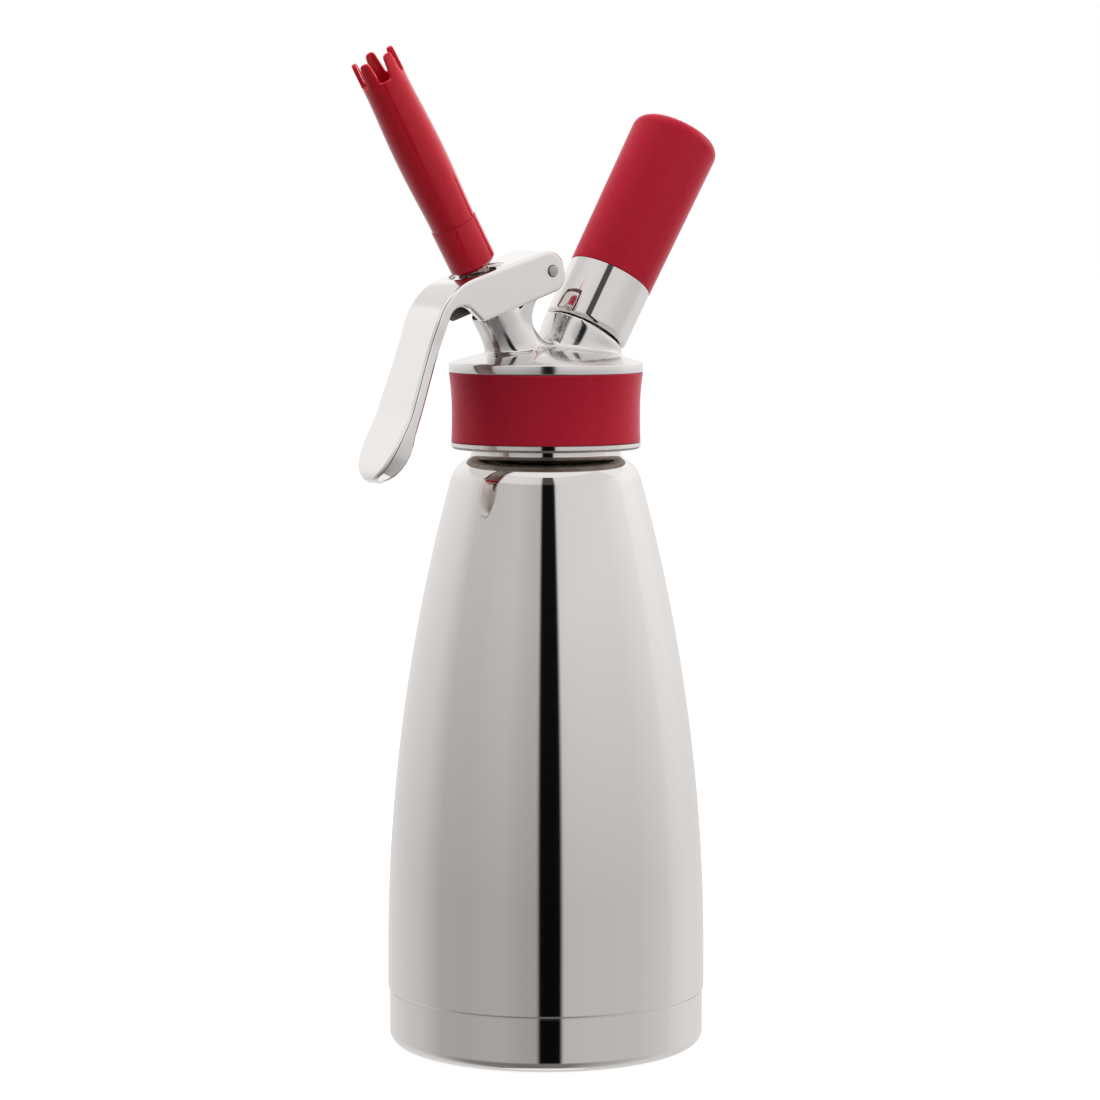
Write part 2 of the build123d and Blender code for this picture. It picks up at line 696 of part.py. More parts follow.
root_high = handle_front(0)[0]
root_low = root_high - rise_normal * 2 * lever_root_height
back_foot = foot + Vector(grip_end_thickness, grip_end_rise)
back_kick = handle_front(handle_thickness)[2]
back_low = handle_front(grip_end_thickness - grip_end_ease)[3] + kick_dir * grip_end_length
arch = bend - Vector(0, arch_drop) + Vector(handle_thickness / handle_dir.Y - arch_drop * handle_dir.X
                                            / handle_dir.Y + arch_ease, 0)
hook = arch + Vector(hook_length, -hook_drop)

with BuildPart() as lever:
    with BuildSketch(Plane.XZ) as side_outline:
        with BuildLine():
            Polyline(root_high, bend, kick, foot, back_foot, back_low, back_kick, arch, hook, root_low,
                     close=True)
        make_face()
        for corner, radius in ((root_high, lever_root_round), (bend, bend_round), (kick, kick_round),
                               (back_kick, kick_round), (arch, arch_round), (hook, hook_round),
                               (root_low, lever_root_round)):
            fillet(side_outline.vertices().sort_by_distance(corner)[0], radius=radius)
    extrude(amount=lever_half_width + grip_swell, both=True)
    # hollow underside of the flat top and the handle; the grip end stays solid
    channel_root, channel_bend, channel_kick, channel_foot = handle_front(lever_wall)
    with BuildSketch(Plane.XZ) as channel:
        with BuildLine():
            Polyline(channel_root + rise_dir * lever_wall, channel_bend, channel_kick,
                     channel_kick + Vector(lever_half_width, -lever_wall),
                     root_low + rise_dir * lever_wall - rise_normal * lever_half_width, close=True)
        make_face()
        fillet(channel.vertices().sort_by_distance(channel_bend)[0], radius=bend_round - lever_wall)
    extrude(amount=cheek_inner, both=True, mode=Mode.SUBTRACT)
    # noses that push the valve's nut down
    nose_point = axes_cross + valve_dir * (push_nut_start + push_nut_height + nose_gap + nose_radius)
    for side in (-1, 1):
        with BuildSketch(Plane(origin=nose_point + Vector(0, side * cheek_inner, 0), z_dir=(0, -side, 0))):
            Circle(nose_radius)
        extrude(amount=cheek_inner - stem_hole_radius - press_gap)
    # outline seen from the front: a slight waist, then a broad rounded grip end
    outline_top_z = pin_z + 2 * lever_root_height
    with BuildSketch(Plane.YZ):
        with BuildLine():
            flat_side = Line((lever_half_width, outline_top_z), (lever_half_width, arch.Y))
            taper = Spline(flat_side @ 1, (lever_half_width - handle_waist, bend.Y - waist_drop),
                           (lever_half_width + grip_swell, kick.Y - grip_swell_drop),
                           tangents=((0, -1), (0, -1)))
            end_round = Spline(taper @ 1,
                               (lever_half_width * grip_end_round_share, foot.Y + grip_end_round_rise),
                               (0, foot.Y), tangents=((0, -1), (-1, 0)))
            Polyline(end_round @ 1, (0, outline_top_z), flat_side @ 0)
        make_face()
        mirror(about=Plane.YZ)
    extrude(amount=(foot.X - lever_half_width) * 2, mode=Mode.INTERSECT)
    # dimple and hole for the valve stem, and the hinge pin's holes
    top_normal = Vector(rise_normal.X, 0, rise_normal.Y)
    dimple_floor = axes_cross + valve_dir * lever_top - top_normal * dimple_depth
    with BuildSketch(Plane(origin=dimple_floor, z_dir=top_normal)):
        Circle(dimple_radius)
    extrude(amount=lever_root_height, mode=Mode.SUBTRACT)
    with BuildSketch(valve_plane(push_nut_start)):
        Circle(stem_hole_radius)
    extrude(amount=push_nut_drop + lever_root_height, mode=Mode.SUBTRACT)
    with BuildSketch(Plane.XZ):
        with Locations((pin_x, pin_z)):
            Circle(pin_radius + run_gap)
    extrude(amount=lever_half_width, both=True, mode=Mode.SUBTRACT)
    hole_rims = lever.edges().filter_by(GeomType.CIRCLE).filter_by(
        lambda rim: abs(abs(rim.center().Y) - lever_half_width) < press_gap and rim.radius < 2 * pin_radius)
    chamfer(hole_rims, length=edge_break)
finish(lever, "lever")

# ------------------------------------------------------------------ decorator tip

insert_root_radius = stem_crest_radius + thread_gap
insert_radius = insert_root_radius + insert_wall
insert_foot = collar_foot + insert_rise
insert_top = insert_foot + insert_length
collar_bore_radius = insert_radius + press_gap
collar_radius = collar_bore_radius + collar_wall
with BuildPart() as tip_collar:
    with BuildSketch(valve_section):
        with BuildLine():
            Polyline((collar_bore_radius, collar_foot), (collar_radius - collar_bevel, collar_foot),
                     (collar_radius, collar_foot + collar_bevel),
                     (collar_radius, collar_top - collar_groove_height),
                     (collar_radius - collar_groove_depth, collar_top - collar_groove_height),
                     (collar_radius - collar_groove_depth, collar_top), (collar_bore_radius, collar_top),
                     close=True)
        make_face()
    revolve(axis=valve_axis)
finish(tip_collar, "tip_collar")

insert_thread = thread_tooth(valve_plane(stem_thread_start + insert_thread_offset), insert_root_radius,
                             stem_root_radius + thread_gap, stem_pitch, stem_turns - nut_turns_less)
with BuildPart() as tip_insert:
    with BuildSketch(valve_plane(insert_foot)):
        Circle(insert_radius)
        Circle(insert_root_radius, mode=Mode.SUBTRACT)
    extrude(amount=insert_length)
    add(insert_thread)
finish(tip_insert, "tip_insert")

with BuildPart() as tip_washer:
    with BuildSketch(valve_plane(stem_top + face_gap)):
        Circle(insert_root_radius - face_gap)
        Circle(stem_bore_radius + washer_relief, mode=Mode.SUBTRACT)
    extrude(amount=washer_height)
finish(tip_washer, "tip_washer")

tube_start = insert_top + press_gap
tube_foot = collar_top + press_gap
tube_foot_radius = collar_radius - tube_step
tube_belly_radius = tube_foot_radius + tube_belly
tube_top_radius = tube_foot_radius - tube_narrowing
tube_bore_radius = tube_top_radius - tube_wall
tine_root = tube_foot + tube_height
tine_top = tine_root + tine_height
with BuildPart() as tip_tube:
    with BuildSketch(valve_section):
        with BuildLine():
            barrel = Spline((tube_foot_radius, tube_foot),
                            (tube_belly_radius, tube_foot + tube_height * tube_belly_share),
                            (tube_top_radius, tine_root))
            Polyline(barrel @ 1, (tube_top_radius - tine_taper, tine_top), (tube_bore_radius, tine_top),
                     (tube_bore_radius, tube_start + 2 * tube_throat_height),
                     (stem_root_radius, tube_start + tube_throat_height), (stem_root_radius, tube_start),
                     (insert_radius, tube_start), (insert_radius, tube_foot), barrel @ 0)
        make_face()
    revolve(axis=valve_axis)
    # slots between the tines, wider towards the mouth so that each tine ends in a round point
    pitch_width = 2 * pi * tube_top_radius / tine_count
    tine_shoulder = tine_height - tine_tip_height
    tine_peak = tine_height + tine_crown
    slot_reach = tine_height + slot_overcut
    root_plane = valve_plane(tine_root)
    for slot in range(tine_count):
        angle = radians(tine_phase + (slot + 0.5) * 360 / tine_count)
        outward = root_plane.x_dir * cos(angle) + root_plane.y_dir * sin(angle)
        slot_plane = Plane(origin=root_plane.origin, x_dir=valve_dir.cross(outward), z_dir=outward)
        with BuildSketch(slot_plane) as gap:
            with BuildLine():
                Polyline((-slot_foot_width / 2, 0), (slot_foot_width / 2, 0),
                         (slot_mouth_width / 2, tine_shoulder), (pitch_width / 2, tine_peak),
                         (pitch_width / 2, slot_reach), (-pitch_width / 2, slot_reach),
                         (-pitch_width / 2, tine_peak), (-slot_mouth_width / 2, tine_shoulder), close=True)
            make_face()
            fillet(gap.vertices().group_by(Axis.Y)[0], radius=slot_foot_round)
            shoulders = gap.vertices().filter_by(lambda v: abs(v.Y - tine_shoulder) < press_gap)
            fillet(shoulders, radius=tine_tip_round)
        extrude(amount=tube_belly_radius + slot_overcut, mode=Mode.SUBTRACT)
finish(tip_tube, "tip_tube")

# ------------------------------------------------------------------ charger side

stud_foot = charger_boss_top - stud_socket_depth + press_gap
stud_thread_start = charger_boss_top + stud_thread_rise
stud_thread = thread_tooth(charger_plane(stud_thread_start), stud_root_radius, stud_crest_radius,
                           stud_pitch, stud_turns)
pierce_foot = stud_top - pierce_seat
with BuildPart() as charger_stud:
    with BuildSketch(charger_section):
        with BuildLine():
            Polyline((0, stud_foot), (stud_socket_radius - press_gap, stud_foot),
                     (stud_socket_radius - press_gap, charger_boss_top + press_gap),
                     (stud_root_radius, charger_boss_top + press_gap), (stud_root_radius, stud_top),
                     (0, stud_top), close=True)
        make_face()
    revolve(axis=charger_axis)
    with BuildSketch(charger_plane(stud_foot)):
        Circle(gas_duct_radius)
    extrude(amount=stud_top, mode=Mode.SUBTRACT)
    with BuildSketch(charger_plane(pierce_foot)):
        Circle(pierce_radius + press_gap)
    extrude(amount=stud_top, mode=Mode.SUBTRACT)
    add(stud_thread)
finish(charger_stud, "charger_stud")

seal_top = stud_top + press_gap + charger_seal_height
cartridge_tip = seal_top + face_gap
pierce_point = cartridge_tip + pierce_depth
with BuildPart() as piercing_pin:
    with BuildSketch(charger_section):
        with BuildLine():
            Polyline((0, pierce_foot + press_gap), (pierce_radius, pierce_foot + press_gap),
                     (pierce_radius, seal_top - pierce_taper), (pierce_point_radius, seal_top),
                     (pierce_point_radius, pierce_point - pierce_tip_length),
                     (pierce_tip_radius, pierce_point), (0, pierce_point), close=True)
        make_face()
    revolve(axis=charger_axis)
finish(piercing_pin, "piercing_pin")

with BuildPart() as charger_gasket:
    with BuildSketch(charger_plane(stud_top + press_gap)):
        Circle(stud_root_radius - charger_seal_margin)
        Circle(pierce_radius + press_gap, mode=Mode.SUBTRACT)
    extrude(amount=charger_seal_height)
finish(charger_gasket, "charger_gasket")

cartridge_end = cartridge_tip + cartridge_length
cartridge_body_start = cartridge_tip + cartridge_neck_length + cartridge_shoulder
with BuildPart() as gas_charger:
    with BuildSketch(charger_section):
        with BuildLine():
            neck_side = Line((cartridge_neck_radius, cartridge_tip),
                             (cartridge_neck_radius, cartridge_tip + cartridge_neck_length))
            shoulder_curve = Spline(neck_side @ 1, (cartridge_radius, cartridge_body_start),
                                    tangents=((1, 2), (0, 1)))
            body_side = Line(shoulder_curve @ 1, (cartridge_radius, cartridge_end - cartridge_radius))
            RadiusArc(body_side @ 1, (0, cartridge_end), -cartridge_radius)
            Polyline((0, cartridge_end), (0, cartridge_tip), neck_side @ 0)
        make_face()
    revolve(axis=charger_axis)
    tip_face = gas_charger.faces().filter_by(GeomType.PLANE).sort_by(charger_axis)[0]
    offset(amount=-cartridge_wall, openings=tip_face)
finish(gas_charger, "gas_charger")

with BuildPart() as charger_seal_cap:
    with BuildSketch(charger_plane(cartridge_tip + press_gap)):
        Circle(cartridge_neck_radius - cartridge_wall - press_gap)
        Circle(pierce_point_radius + run_gap, mode=Mode.SUBTRACT)
    extrude(amount=seal_cap_height)
finish(charger_seal_cap, "charger_seal_cap")

holder_foot = charger_boss_top + holder_foot_gap
holder_shoulder = holder_foot + holder_height
holder_nut_root = stud_crest_radius + thread_gap
holder_bore_end = cartridge_end + face_gap * 2
holder_tube_end = holder_bore_end + holder_end_wall
holder_thread = thread_tooth(charger_plane(stud_thread_start + stud_pitch / 2), holder_nut_root,
                             holder_nut_crest, stud_pitch, stud_turns - nut_turns_less)
with BuildPart() as holder_body:
    with BuildSketch(charger_section):
        with BuildLine():
            Polyline((holder_nut_root, holder_foot), (holder_radius, holder_foot),
                     (holder_radius, holder_shoulder), (holder_tube_radius, holder_shoulder),
                     (holder_tube_radius, holder_tube_end), (0, holder_tube_end), (0, holder_bore_end),
                     (holder_bore_radius, holder_bore_end), (holder_bore_radius, stud_top + 2 * nut_relief),
                     (holder_nut_root, stud_top + nut_relief), close=True)
        make_face()
    revolve(axis=charger_axis)
    round_edges = holder_body.edges().filter_by(GeomType.CIRCLE).sort_by(charger_axis)
    foot_rim = round_edges.group_by(charger_axis)[0].sort_by(SortBy.RADIUS)[-1]
    tube_rim = round_edges[-1]
    fillet(foot_rim, radius=holder_edge_round)
    fillet(tube_rim, radius=holder_tube_round)
    add(holder_thread)
finish(holder_body, "holder_body")

sleeve_foot = holder_shoulder + press_gap
sleeve_inner_end = holder_tube_end + press_gap
sleeve_end = sleeve_inner_end + sleeve_end_wall
sleeve_foot_radius = holder_radius + sleeve_step
sleeve_top_radius = sleeve_foot_radius + sleeve_taper
with BuildPart() as holder_sleeve:
    with BuildSketch(charger_section) as sleeve_profile:
        with BuildLine():
            crown = TangentArc((0, sleeve_end), (sleeve_top_radius, sleeve_end - sleeve_crown),
                               tangent=(1, 0))
            Polyline(crown @ 1, (sleeve_foot_radius, sleeve_foot),
                     (holder_tube_radius + press_gap, sleeve_foot),
                     (holder_tube_radius + press_gap, sleeve_inner_end), (0, sleeve_inner_end), crown @ 0)
        make_face()
        top_corner = sleeve_profile.vertices().sort_by_distance(crown @ 1)[0]
        fillet(top_corner, radius=sleeve_edge_round)
    revolve(axis=charger_axis)
finish(holder_sleeve, "holder_sleeve")
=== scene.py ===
# %% [markdown]
# # Dressing a whipped cream dispenser
# The object is a thermal whipped cream dispenser: a tall polished steel bottle, a screw-on head with a red
# silicone grip, a squeeze lever, a red decorator tip leaning one way and a gas charger holder leaning the
# other way. Its engineering model comes first. It is loaded as a fixed frame, and everything made here is
# fitted to it.
#
# Blender's units are metres, +Z is up, and the origin is the middle of the face that the bottle stands on.
# Sizes are written in millimetres, and MM turns them into metres.

# %% Load the frame
import json
import math

import bpy
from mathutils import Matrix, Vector


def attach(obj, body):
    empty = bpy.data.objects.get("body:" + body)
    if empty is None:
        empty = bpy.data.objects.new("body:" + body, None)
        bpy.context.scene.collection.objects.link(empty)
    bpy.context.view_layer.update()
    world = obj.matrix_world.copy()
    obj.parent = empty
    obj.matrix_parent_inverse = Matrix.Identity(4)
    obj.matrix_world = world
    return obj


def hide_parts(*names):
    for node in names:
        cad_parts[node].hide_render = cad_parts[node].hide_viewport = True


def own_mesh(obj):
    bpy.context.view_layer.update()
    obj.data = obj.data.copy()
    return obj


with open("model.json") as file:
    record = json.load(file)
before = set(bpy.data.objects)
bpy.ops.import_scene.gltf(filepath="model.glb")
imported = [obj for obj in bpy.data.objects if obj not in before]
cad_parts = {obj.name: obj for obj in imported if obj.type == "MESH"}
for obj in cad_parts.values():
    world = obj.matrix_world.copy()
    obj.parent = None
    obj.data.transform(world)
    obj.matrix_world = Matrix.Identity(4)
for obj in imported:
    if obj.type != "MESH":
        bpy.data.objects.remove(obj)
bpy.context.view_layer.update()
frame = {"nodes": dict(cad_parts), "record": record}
nodes = frame["nodes"]
bpy.ops.object.select_all(action="DESELECT")
MM = 0.001
print("solids:", len(nodes))

# %% [markdown]
# ## The camera
# A product shot is taken from far away with a long lens, so that the bottle's sides look nearly parallel.
# The camera stands 1.12 m off, level with the lever, and looks down by 5 degrees.

# %% The camera
AZIMUTH = math.radians(34.0)
PITCH = math.radians(4.95)
DISTANCE = 1.1201
SIDE_STEP = 0.00133
CAMERA_HEIGHT = 0.2585
SENSOR = 36.0
LENS = 112.9

camera_data = bpy.data.cameras.new("product_camera")
camera_data.sensor_width = SENSOR
camera_data.lens = LENS
camera = bpy.data.objects.new("product_camera", camera_data)
bpy.context.scene.collection.objects.link(camera)
camera.location = (-DISTANCE * math.sin(AZIMUTH) + SIDE_STEP * math.cos(AZIMUTH),
                   -DISTANCE * math.cos(AZIMUTH) - SIDE_STEP * math.sin(AZIMUTH), CAMERA_HEIGHT)
camera.rotation_euler = (math.radians(90) - PITCH, 0, -AZIMUTH)
bpy.context.scene.camera = camera
bpy.context.scene.view_settings.view_transform = "Standard"

# %% [markdown]
# ## Helpers for finishes
# Colours are written as they are seen on a screen, in sRGB hex. Shaders work in linear light, so `linear`
# turns them over. `add` adds a shader node, with its options and what goes into its sockets, and
# `new_finish` starts a material with an empty node tree.


# %% Helpers for finishes
def linear(hex_colour):
    """A colour such as "#A01C28" as the linear RGBA that a shader needs."""
    channels = [int(hex_colour[i:i + 2], 16) / 255 for i in (1, 3, 5)]
    return [c / 12.92 if c <= 0.04045 else ((c + 0.055) / 1.055) ** 2.4 for c in channels] + [1.0]


def add(tree, kind, inputs=None, **options):
    """Adds one node. Each input is a plain value, or the output socket of another node."""
    made = tree.nodes.new(kind)
    for option, value in options.items():
        setattr(made, option, value)
    for socket, value in (inputs or {}).items():
        if isinstance(value, bpy.types.NodeSocket):
            tree.links.new(value, made.inputs[socket])
        else:
            made.inputs[socket].default_value = value
    return made


def new_finish(name):
    """A material whose node tree is empty, and that tree."""
    material = bpy.data.materials.new(name)
    material.use_nodes = True
    material.node_tree.nodes.clear()
    return material, material.node_tree


# a Mix node that mixes colours takes them at these two inputs, and gives the mixture at this output
COLOUR_A, COLOUR_B, MIXTURE = 6, 7, 2

# %% [markdown]
# ## The studio
# Polished steel shows nothing but what stands round it, so most of its look is made here. A photographer
# puts a bottle like this in a light tent: pale cloth all round, greyer on one side, and a dark gap for the
# lens, which gives the sharp black stripe down the middle. The tent is a tall ring that only mirrors see,
# and its tones are set by direction. The white world behind it is what the camera sees.

# %% The light tent
TENT_RADIUS, TENT_FOOT, TENT_TOP = 2.5, -9.0, 3.6
# direction in degrees from the lens, to the right, and the tone of the cloth there
TENT_TONES = [(-180, 0.88), (-155, 0.93), (-131, 0.87), (-103, 0.76), (-82, 0.56), (-60, 0.54), (-47, 0.56),
              (-31, 0.57), (-23, 0.53), (-15, 0.50), (-6.5, 0.48), (-4.2, 0.004), (10.2, 0.004), (12.5, 0.68),
              (21, 0.71), (69, 0.745), (99, 0.86), (106, 0.95), (125, 1.0), (155, 0.95), (180, 0.88)]
# the same above head height, which only the slanted parts see
HIGH_TONES = [(-180, 0.74), (-155, 0.72), (-131, 0.70), (-103, 0.66), (-82, 0.74), (-60, 0.76), (-31, 0.76),
              (-15, 0.72), (-6.5, 0.70), (-4.2, 0.07), (10.2, 0.07), (12.5, 0.74), (69, 0.72), (99, 0.77),
              (106, 0.90), (125, 0.92), (155, 0.80), (180, 0.74)]
# and low down, where the cloth in front lies in the shade of the table
LOW_TONES = [(-180, 0.9), (-120, 0.95), (-95, 0.66), (-70, 0.3), (-20, 0.22), (20, 0.25), (45, 0.5), (70, 0.62),
             (110, 0.9), (180, 0.9)]
HIGH_FROM, HIGH_TO = 1.5, 1.65
LOW_FROM, LOW_TO = -0.65, -1.5
# two heights on the cloth, and how bright it is there
RISE_HEIGHTS, RISE_GLOWS = (-0.22, 0.9), (0.85, 1.15)
TENT_SIDES = 96

bpy.ops.mesh.primitive_cylinder_add(vertices=TENT_SIDES, radius=TENT_RADIUS, depth=TENT_TOP - TENT_FOOT,
                                    end_fill_type="NOTHING", location=(0, 0, (TENT_TOP + TENT_FOOT) / 2))
tent = bpy.context.object
tent.name = "light_tent"
bpy.ops.object.transform_apply(location=True)
tent.rotation_euler = (0, 0, math.radians(-90) - AZIMUTH)
tent.visible_camera = tent.visible_diffuse = tent.visible_shadow = tent.visible_transmission = False
cloth, tree = new_finish("tent_cloth")
place = add(tree, "ShaderNodeTexCoord")
turn = add(tree, "ShaderNodeTexGradient", {"Vector": place.outputs["Object"]}, gradient_type="RADIAL")
rings = []
for tones in (TENT_TONES, HIGH_TONES, LOW_TONES):
    ring = add(tree, "ShaderNodeValToRGB", {"Fac": turn.outputs["Fac"]})
    while len(ring.color_ramp.elements) < len(tones):
        ring.color_ramp.elements.new(0.5)
    for stop, (direction, tone) in zip(ring.color_ramp.elements, tones):
        stop.position = 0.5 + direction / 360
        stop.color = (tone, tone, tone, 1)
    rings.append(ring)
height = add(tree, "ShaderNodeSeparateXYZ", {"Vector": place.outputs["Object"]})
blend = rings[0].outputs["Color"]
for start, end, ring in ((HIGH_FROM, HIGH_TO, rings[1]), (LOW_FROM, LOW_TO, rings[2])):
    share = add(tree, "ShaderNodeMapRange", {"Value": height.outputs["Z"], "From Min": start, "From Max": end})
    mixed = add(tree, "ShaderNodeMix", {"Factor": share.outputs["Result"], COLOUR_A: blend,
                                        COLOUR_B: ring.outputs["Color"]}, data_type="RGBA")
    blend = mixed.outputs[MIXTURE]
rise = add(tree, "ShaderNodeMapRange", {"Value": height.outputs["Z"],
                                        "From Min": RISE_HEIGHTS[0], "From Max": RISE_HEIGHTS[1],
                                        "To Min": RISE_GLOWS[0], "To Max": RISE_GLOWS[1]})
glow = add(tree, "ShaderNodeEmission", {"Color": blend, "Strength": rise.outputs["Result"]})
add(tree, "ShaderNodeOutputMaterial", {"Surface": glow.outputs["Emission"]})
tent.data.materials.append(cloth)

# %% [markdown]
# The world is pure white to the camera and to mirrors. For matt surfaces it is dimmed, as the walls of a
# real studio are, so that they keep some shadow.

# %% The world
WHITE = (1, 1, 1, 1)
SOFT_FILL = 0.56
world = bpy.data.worlds.new("studio")
bpy.context.scene.world = world
world.use_nodes = True
tree = world.node_tree
tree.nodes.clear()
rays = add(tree, "ShaderNodeLightPath")
seen = rays.outputs["Is Camera Ray"]
for ray in ("Is Glossy Ray", "Is Transmission Ray"):
    seen = add(tree, "ShaderNodeMath", {0: seen, 1: rays.outputs[ray]}, operation="MAXIMUM").outputs[0]
strength = add(tree, "ShaderNodeMapRange", {"Value": seen, "To Min": SOFT_FILL, "To Max": 1.0})
backdrop = add(tree, "ShaderNodeBackground", {"Color": WHITE, "Strength": strength.outputs["Result"]})
add(tree, "ShaderNodeOutputWorld", {"Surface": backdrop.outputs["Background"]})

# %% [markdown]
# ## The floor
# The floor is a pale sweep that fades into the white behind. It is mostly white to the camera, so that it
# needs no extra light, and keeps a soft shadow under the bottle.

# %% The floor
FLOOR_SIZE, FLOOR_DROP = 40, 0.00005
FLOOR_TONE = (0.28, 0.28, 0.28, 1)
FLOOR_GLOW = 0.86
bpy.ops.mesh.primitive_plane_add(size=FLOOR_SIZE, location=(0, 0, -FLOOR_DROP))
floor = bpy.context.object
floor.name = "floor"
floor.visible_glossy = False
paint, tree = new_finish("pale_floor")
rays = add(tree, "ShaderNodeLightPath")
matt = add(tree, "ShaderNodeBsdfDiffuse", {"Color": FLOOR_TONE})
glow = add(tree, "ShaderNodeEmission", {"Color": WHITE, "Strength": FLOOR_GLOW})
none = add(tree, "ShaderNodeEmission", {"Strength": 0.0})
shown = add(tree, "ShaderNodeMixShader", {0: rays.outputs["Is Camera Ray"], 1: none.outputs[0],
                                          2: glow.outputs[0]})
both = add(tree, "ShaderNodeAddShader", {0: matt.outputs[0], 1: shown.outputs[0]})
add(tree, "ShaderNodeOutputMaterial", {"Surface": both.outputs[0]})
floor.data.materials.append(paint)

# %% [markdown]
# ## The lamps
# Five soft boxes light what isn't metal: one on each side of the camera, of which the right one is the
# stronger, one above, and two behind that draw a pale rim along both sides. Mirrors don't see them.

# %% The lamps
# name, direction in degrees from the lens, distance, height and size in metres, and power in watts
LAMPS = [("left_box", -62, 1.5, 0.9, 0.9, 1.5), ("right_box", 62, 1.5, 0.8, 0.9, 11.0),
         ("top_box", 0, 0.3, 1.5, 0.9, 7.0),
         ("left_rim", -122, 1.2, 1.2, 0.5, 20.0), ("right_rim", 125, 1.2, 0.8, 0.5, 12.0)]
AIM = Vector((0, 0, 0.2))
for lamp_name, direction, away, up, size, power in LAMPS:
    lamp_data = bpy.data.lights.new(lamp_name, "AREA")
    lamp_data.shape = "SQUARE"
    lamp_data.size = size
    lamp_data.energy = power
    lamp = bpy.data.objects.new(lamp_name, lamp_data)
    bpy.context.scene.collection.objects.link(lamp)
    angle = math.radians(-90 + direction) - AZIMUTH
    lamp.location = (away * math.cos(angle), away * math.sin(angle), up)
    lamp.rotation_euler = (AIM - lamp.location).to_track_quat("-Z", "Y").to_euler()
    lamp.visible_glossy = False

# %% [markdown]
# ## Patterns
# No real surface is the same all over, so every finish has a pattern, tied to the piece and given its true
# size. `patches` is a value that wanders, `mottled` a colour and `uneven` a relief.


# %% Patterns
def patches(tree, size, low=0.0, high=1.0, stretch=(1, 1, 1), detail=2.0):
    """A value that wanders from low to high over patches of this size in millimetres."""
    place = add(tree, "ShaderNodeTexCoord")
    spread = add(tree, "ShaderNodeMapping", {"Vector": place.outputs["Object"], "Scale": stretch})
    noise = add(tree, "ShaderNodeTexNoise", {"Vector": spread.outputs["Vector"], "Scale": 1 / (size * MM),
                                             "Detail": detail})
    value = add(tree, "ShaderNodeMapRange", {"Value": noise.outputs["Fac"], "From Min": 0.3, "From Max": 0.7,
                                             "To Min": low, "To Max": high})
    return value.outputs["Result"]


def mottled(tree, size, dark, light, detail=2.0):
    """A colour that wanders between two hex colours over patches of this size in millimetres."""
    mixed = add(tree, "ShaderNodeMix", {"Factor": patches(tree, size, detail=detail), COLOUR_A: linear(dark),
                                        COLOUR_B: linear(light)}, data_type="RGBA")
    return mixed.outputs[MIXTURE]


def uneven(tree, size, depth, detail=2.0):
    """The normal of a surface whose bumps have this size and depth in millimetres."""
    raised = add(tree, "ShaderNodeBump", {"Height": patches(tree, size, detail=detail), "Strength": 1.0,
                                          "Distance": depth * MM})
    return raised.outputs["Normal"]


# %% [markdown]
# ## Steel
# The bottle is spun from 304 stainless steel and buffed on a wheel until it is a mirror. What is left of the
# buffing is a very faint haze in rings round the bottle. The lever and the head are investment castings of
# the same steel. The lever's mirror has a slow ripple in it. The head is tumbled longer than it is buffed,
# so its reflections are softer, and inside the lever, where no wheel reaches, the steel stays grey as it was
# cast.

# %% Steel
mirror_steel, tree = new_finish("buffed_stainless_steel")
haze = patches(tree, size=1.2, low=0.05, high=0.056, stretch=(0.01, 0.01, 1), detail=3.0)
add(tree, "ShaderNodeBsdfPrincipled", {
    "Base Color": linear("#E4DFDC"), "Metallic": 1.0, "Roughness": haze})

cast_steel, tree = new_finish("polished_cast_steel")
add(tree, "ShaderNodeBsdfPrincipled", {
    "Base Color": linear("#F1EDEB"), "Metallic": 1.0, "Roughness": patches(tree, size=3.0, low=0.07, high=0.09),
    "Normal": uneven(tree, size=7.0, depth=0.012, detail=1.0)})

tumbled_steel, tree = new_finish("tumbled_cast_steel")
add(tree, "ShaderNodeBsdfPrincipled", {
    "Base Color": linear("#E2DFDD"), "Metallic": 1.0, "Roughness": patches(tree, size=2.0, low=0.11, high=0.15),
    "Normal": uneven(tree, size=5.0, depth=0.006, detail=1.5)})

as_cast, tree = new_finish("as_cast_stainless_steel")
add(tree, "ShaderNodeBsdfPrincipled", {
    "Base Color": mottled(tree, size=3.0, dark="#A8A29D", light="#BDB7B2"), "Metallic": 1.0,
    "Roughness": patches(tree, size=1.0, low=0.42, high=0.55), "Normal": uneven(tree, size=0.5, depth=0.02)})

# a turning tool leaves rings a tenth of a millimetre apart, drawn here as a fine grain
turned_steel, tree = new_finish("turned_stainless_steel")
add(tree, "ShaderNodeBsdfPrincipled", {
    "Base Color": linear("#B4B0AC"), "Metallic": 1.0, "Roughness": patches(tree, size=1.0, low=0.2, high=0.28),
    "Normal": uneven(tree, size=0.25, depth=0.004)})

# under the skirt and inside the bottle nobody polishes: the steel is grey brown from the welding heat
bare_steel, tree = new_finish("unpolished_stainless_steel")
add(tree, "ShaderNodeBsdfPrincipled", {
    "Base Color": mottled(tree, size=4.0, dark="#9A8E85", light="#B3A9A1"), "Metallic": 1.0,
    "Roughness": patches(tree, size=1.5, low=0.38, high=0.5)})

# %% [markdown]
# ## Braze, zinc and foil
# A drop of silver braze closes the vacuum. The charger is a drawn steel capsule with a zinc plating, whose
# crystals show as faint lighter and darker spangles, and a crimped foil seals its neck.

# %% Braze, zinc and foil
braze, tree = new_finish("silver_braze")
add(tree, "ShaderNodeBsdfPrincipled", {
    "Base Color": mottled(tree, size=1.5, dark="#BCA98B", light="#D2C2A8"), "Metallic": 1.0,
    "Roughness": patches(tree, size=0.8, low=0.3, high=0.42), "Normal": uneven(tree, size=1.0, depth=0.05)})

